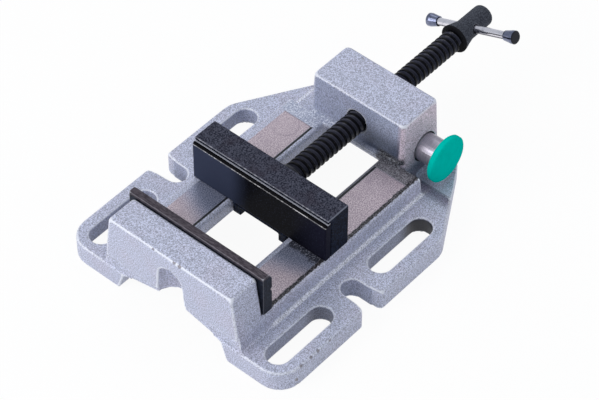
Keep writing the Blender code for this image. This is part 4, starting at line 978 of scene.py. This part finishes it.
cap_steel = Finish("dark_cap_steel", srgb(88, 90, 102), 0.2, 1.0)
cap_steel.dull(0.1)
along_bar, height = bar_frame(cap_steel)
ends = sorted(corner.y for cap in ("bar_cap_left", "bar_cap_right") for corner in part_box(cap))
widest = max(abs(end - bar_middle.y) for end in ends)
reach = (widest - CAP_RADIUS * math.sin(BAR_TILT)) / math.cos(BAR_TILT)
end_face = cap_steel.above(cap_steel.math("ABSOLUTE", along_bar), reach - 0.375 * MM, 0.125 * MM)
seam = cap_steel.band(cap_steel.axes()[1], ends[1] - 0.7 * MM, ends[2] + 0.7 * MM, 0.1 * MM)
skin = cap_steel.mix(cap_steel.grain(2 * MM, 2.0), srgb(80, 86, 112), srgb(146, 152, 176))
cap_steel.feed("Base Color", cap_steel.mix(cap_steel.math("MAXIMUM", end_face, seam), skin,
                                           srgb(40, 40, 46)))
cap_steel.feed("Metallic", cap_steel.blend(end_face, 1.0, 0.1))
cap_steel.feed("Roughness", cap_steel.blend(cap_steel.grain(1.0 * MM, 3.0), 0.12, 0.26))
coat("bar_cap_left", cap_steel)
coat("bar_cap_right", cap_steel)
print("bar and caps in mm:", round(2 * reach / MM, 1))

# %% [markdown]
# ## The release button
# A turned steel plunger comes out of the side of the housing and carries a flat plastic button.
# Both keep their CAD meshes, since turned and moulded parts have the exact shape that is drawn.
# The plunger has fine turning rings, and the plastic is matt and hardly mirrors anything.

# %% Finish the plunger and the button
turned = Finish("turned_plunger", srgb(150, 147, 158), 0.36, 0.65)
rings = turned.grain(0.35 * MM, 2.0, (0.05, 1.0, 0.05))
turned.feed("Base Color", turned.mottled(rings, 0.35, 0.7, (158, 154, 168), (186, 181, 192)))
turned.feed("Roughness", turned.blend(rings, 0.28, 0.46))
turned.bump(rings, 0.02 * MM, 0.6)
coat("release_plunger", turned)

teal = Finish("teal_plastic", srgb(0, 178, 165), 0.6)
teal.dull(0.0)
matt = teal.grain(0.6 * MM, 3.0)
clouds = teal.grain(5 * MM, 3.0)
teal.feed("Base Color", teal.mottled(clouds, 0.4, 0.75, (0, 190, 176), (0, 184, 170)))
teal.feed("Roughness", teal.blend(matt, 0.52, 0.7))
teal.bump(matt, 0.02 * MM, 0.5)
coat("release_button", teal)
button_low, button_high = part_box("release_button")
print("button across in mm:", round((button_high.z - button_low.z) / MM, 1))

# %% [markdown]
# ## Small hardware
# The screws, the keeper plate, the clip, the washer and the spring are plain steel parts that
# only show from behind or from below.

# %% Finish the small hardware
steel = Finish("plain_steel", srgb(140, 140, 148), 0.35, 0.85)
marks = steel.grain(0.6 * MM, 3.0)
steel.feed("Base Color", steel.mix(marks, srgb(120, 120, 130), srgb(164, 164, 172)))
steel.feed("Roughness", steel.blend(marks, 0.28, 0.48))
steel.bump(marks, 0.03 * MM, 0.5)
black_screw = Finish("black_screw_steel", srgb(36, 37, 44), 0.36, 0.6)
marks = black_screw.grain(0.5 * MM, 3.0)
black_screw.feed("Base Color", black_screw.mix(marks, srgb(28, 29, 36), srgb(54, 55, 64)))
black_screw.feed("Roughness", black_screw.blend(marks, 0.28, 0.48))
for node in ("keeper_plate", "retaining_clip", "return_spring"):
    coat(node, steel)
screws = [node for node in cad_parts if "_screw_" in node]
for node in (*screws, "thrust_washer"):
    coat(node, black_screw)
print("screws:", len(screws))

# %% [markdown]
# ## Sizes and the end
# The box of the dressed vise is written beside the box of the CAD model, to show that the looks
# haven't changed any size.

# %% Write the two boxes
low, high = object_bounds()
print("grown by, in mm:", [round((a - b) / MM, 3) for a, b in zip(high - low, cad_high - cad_low)])
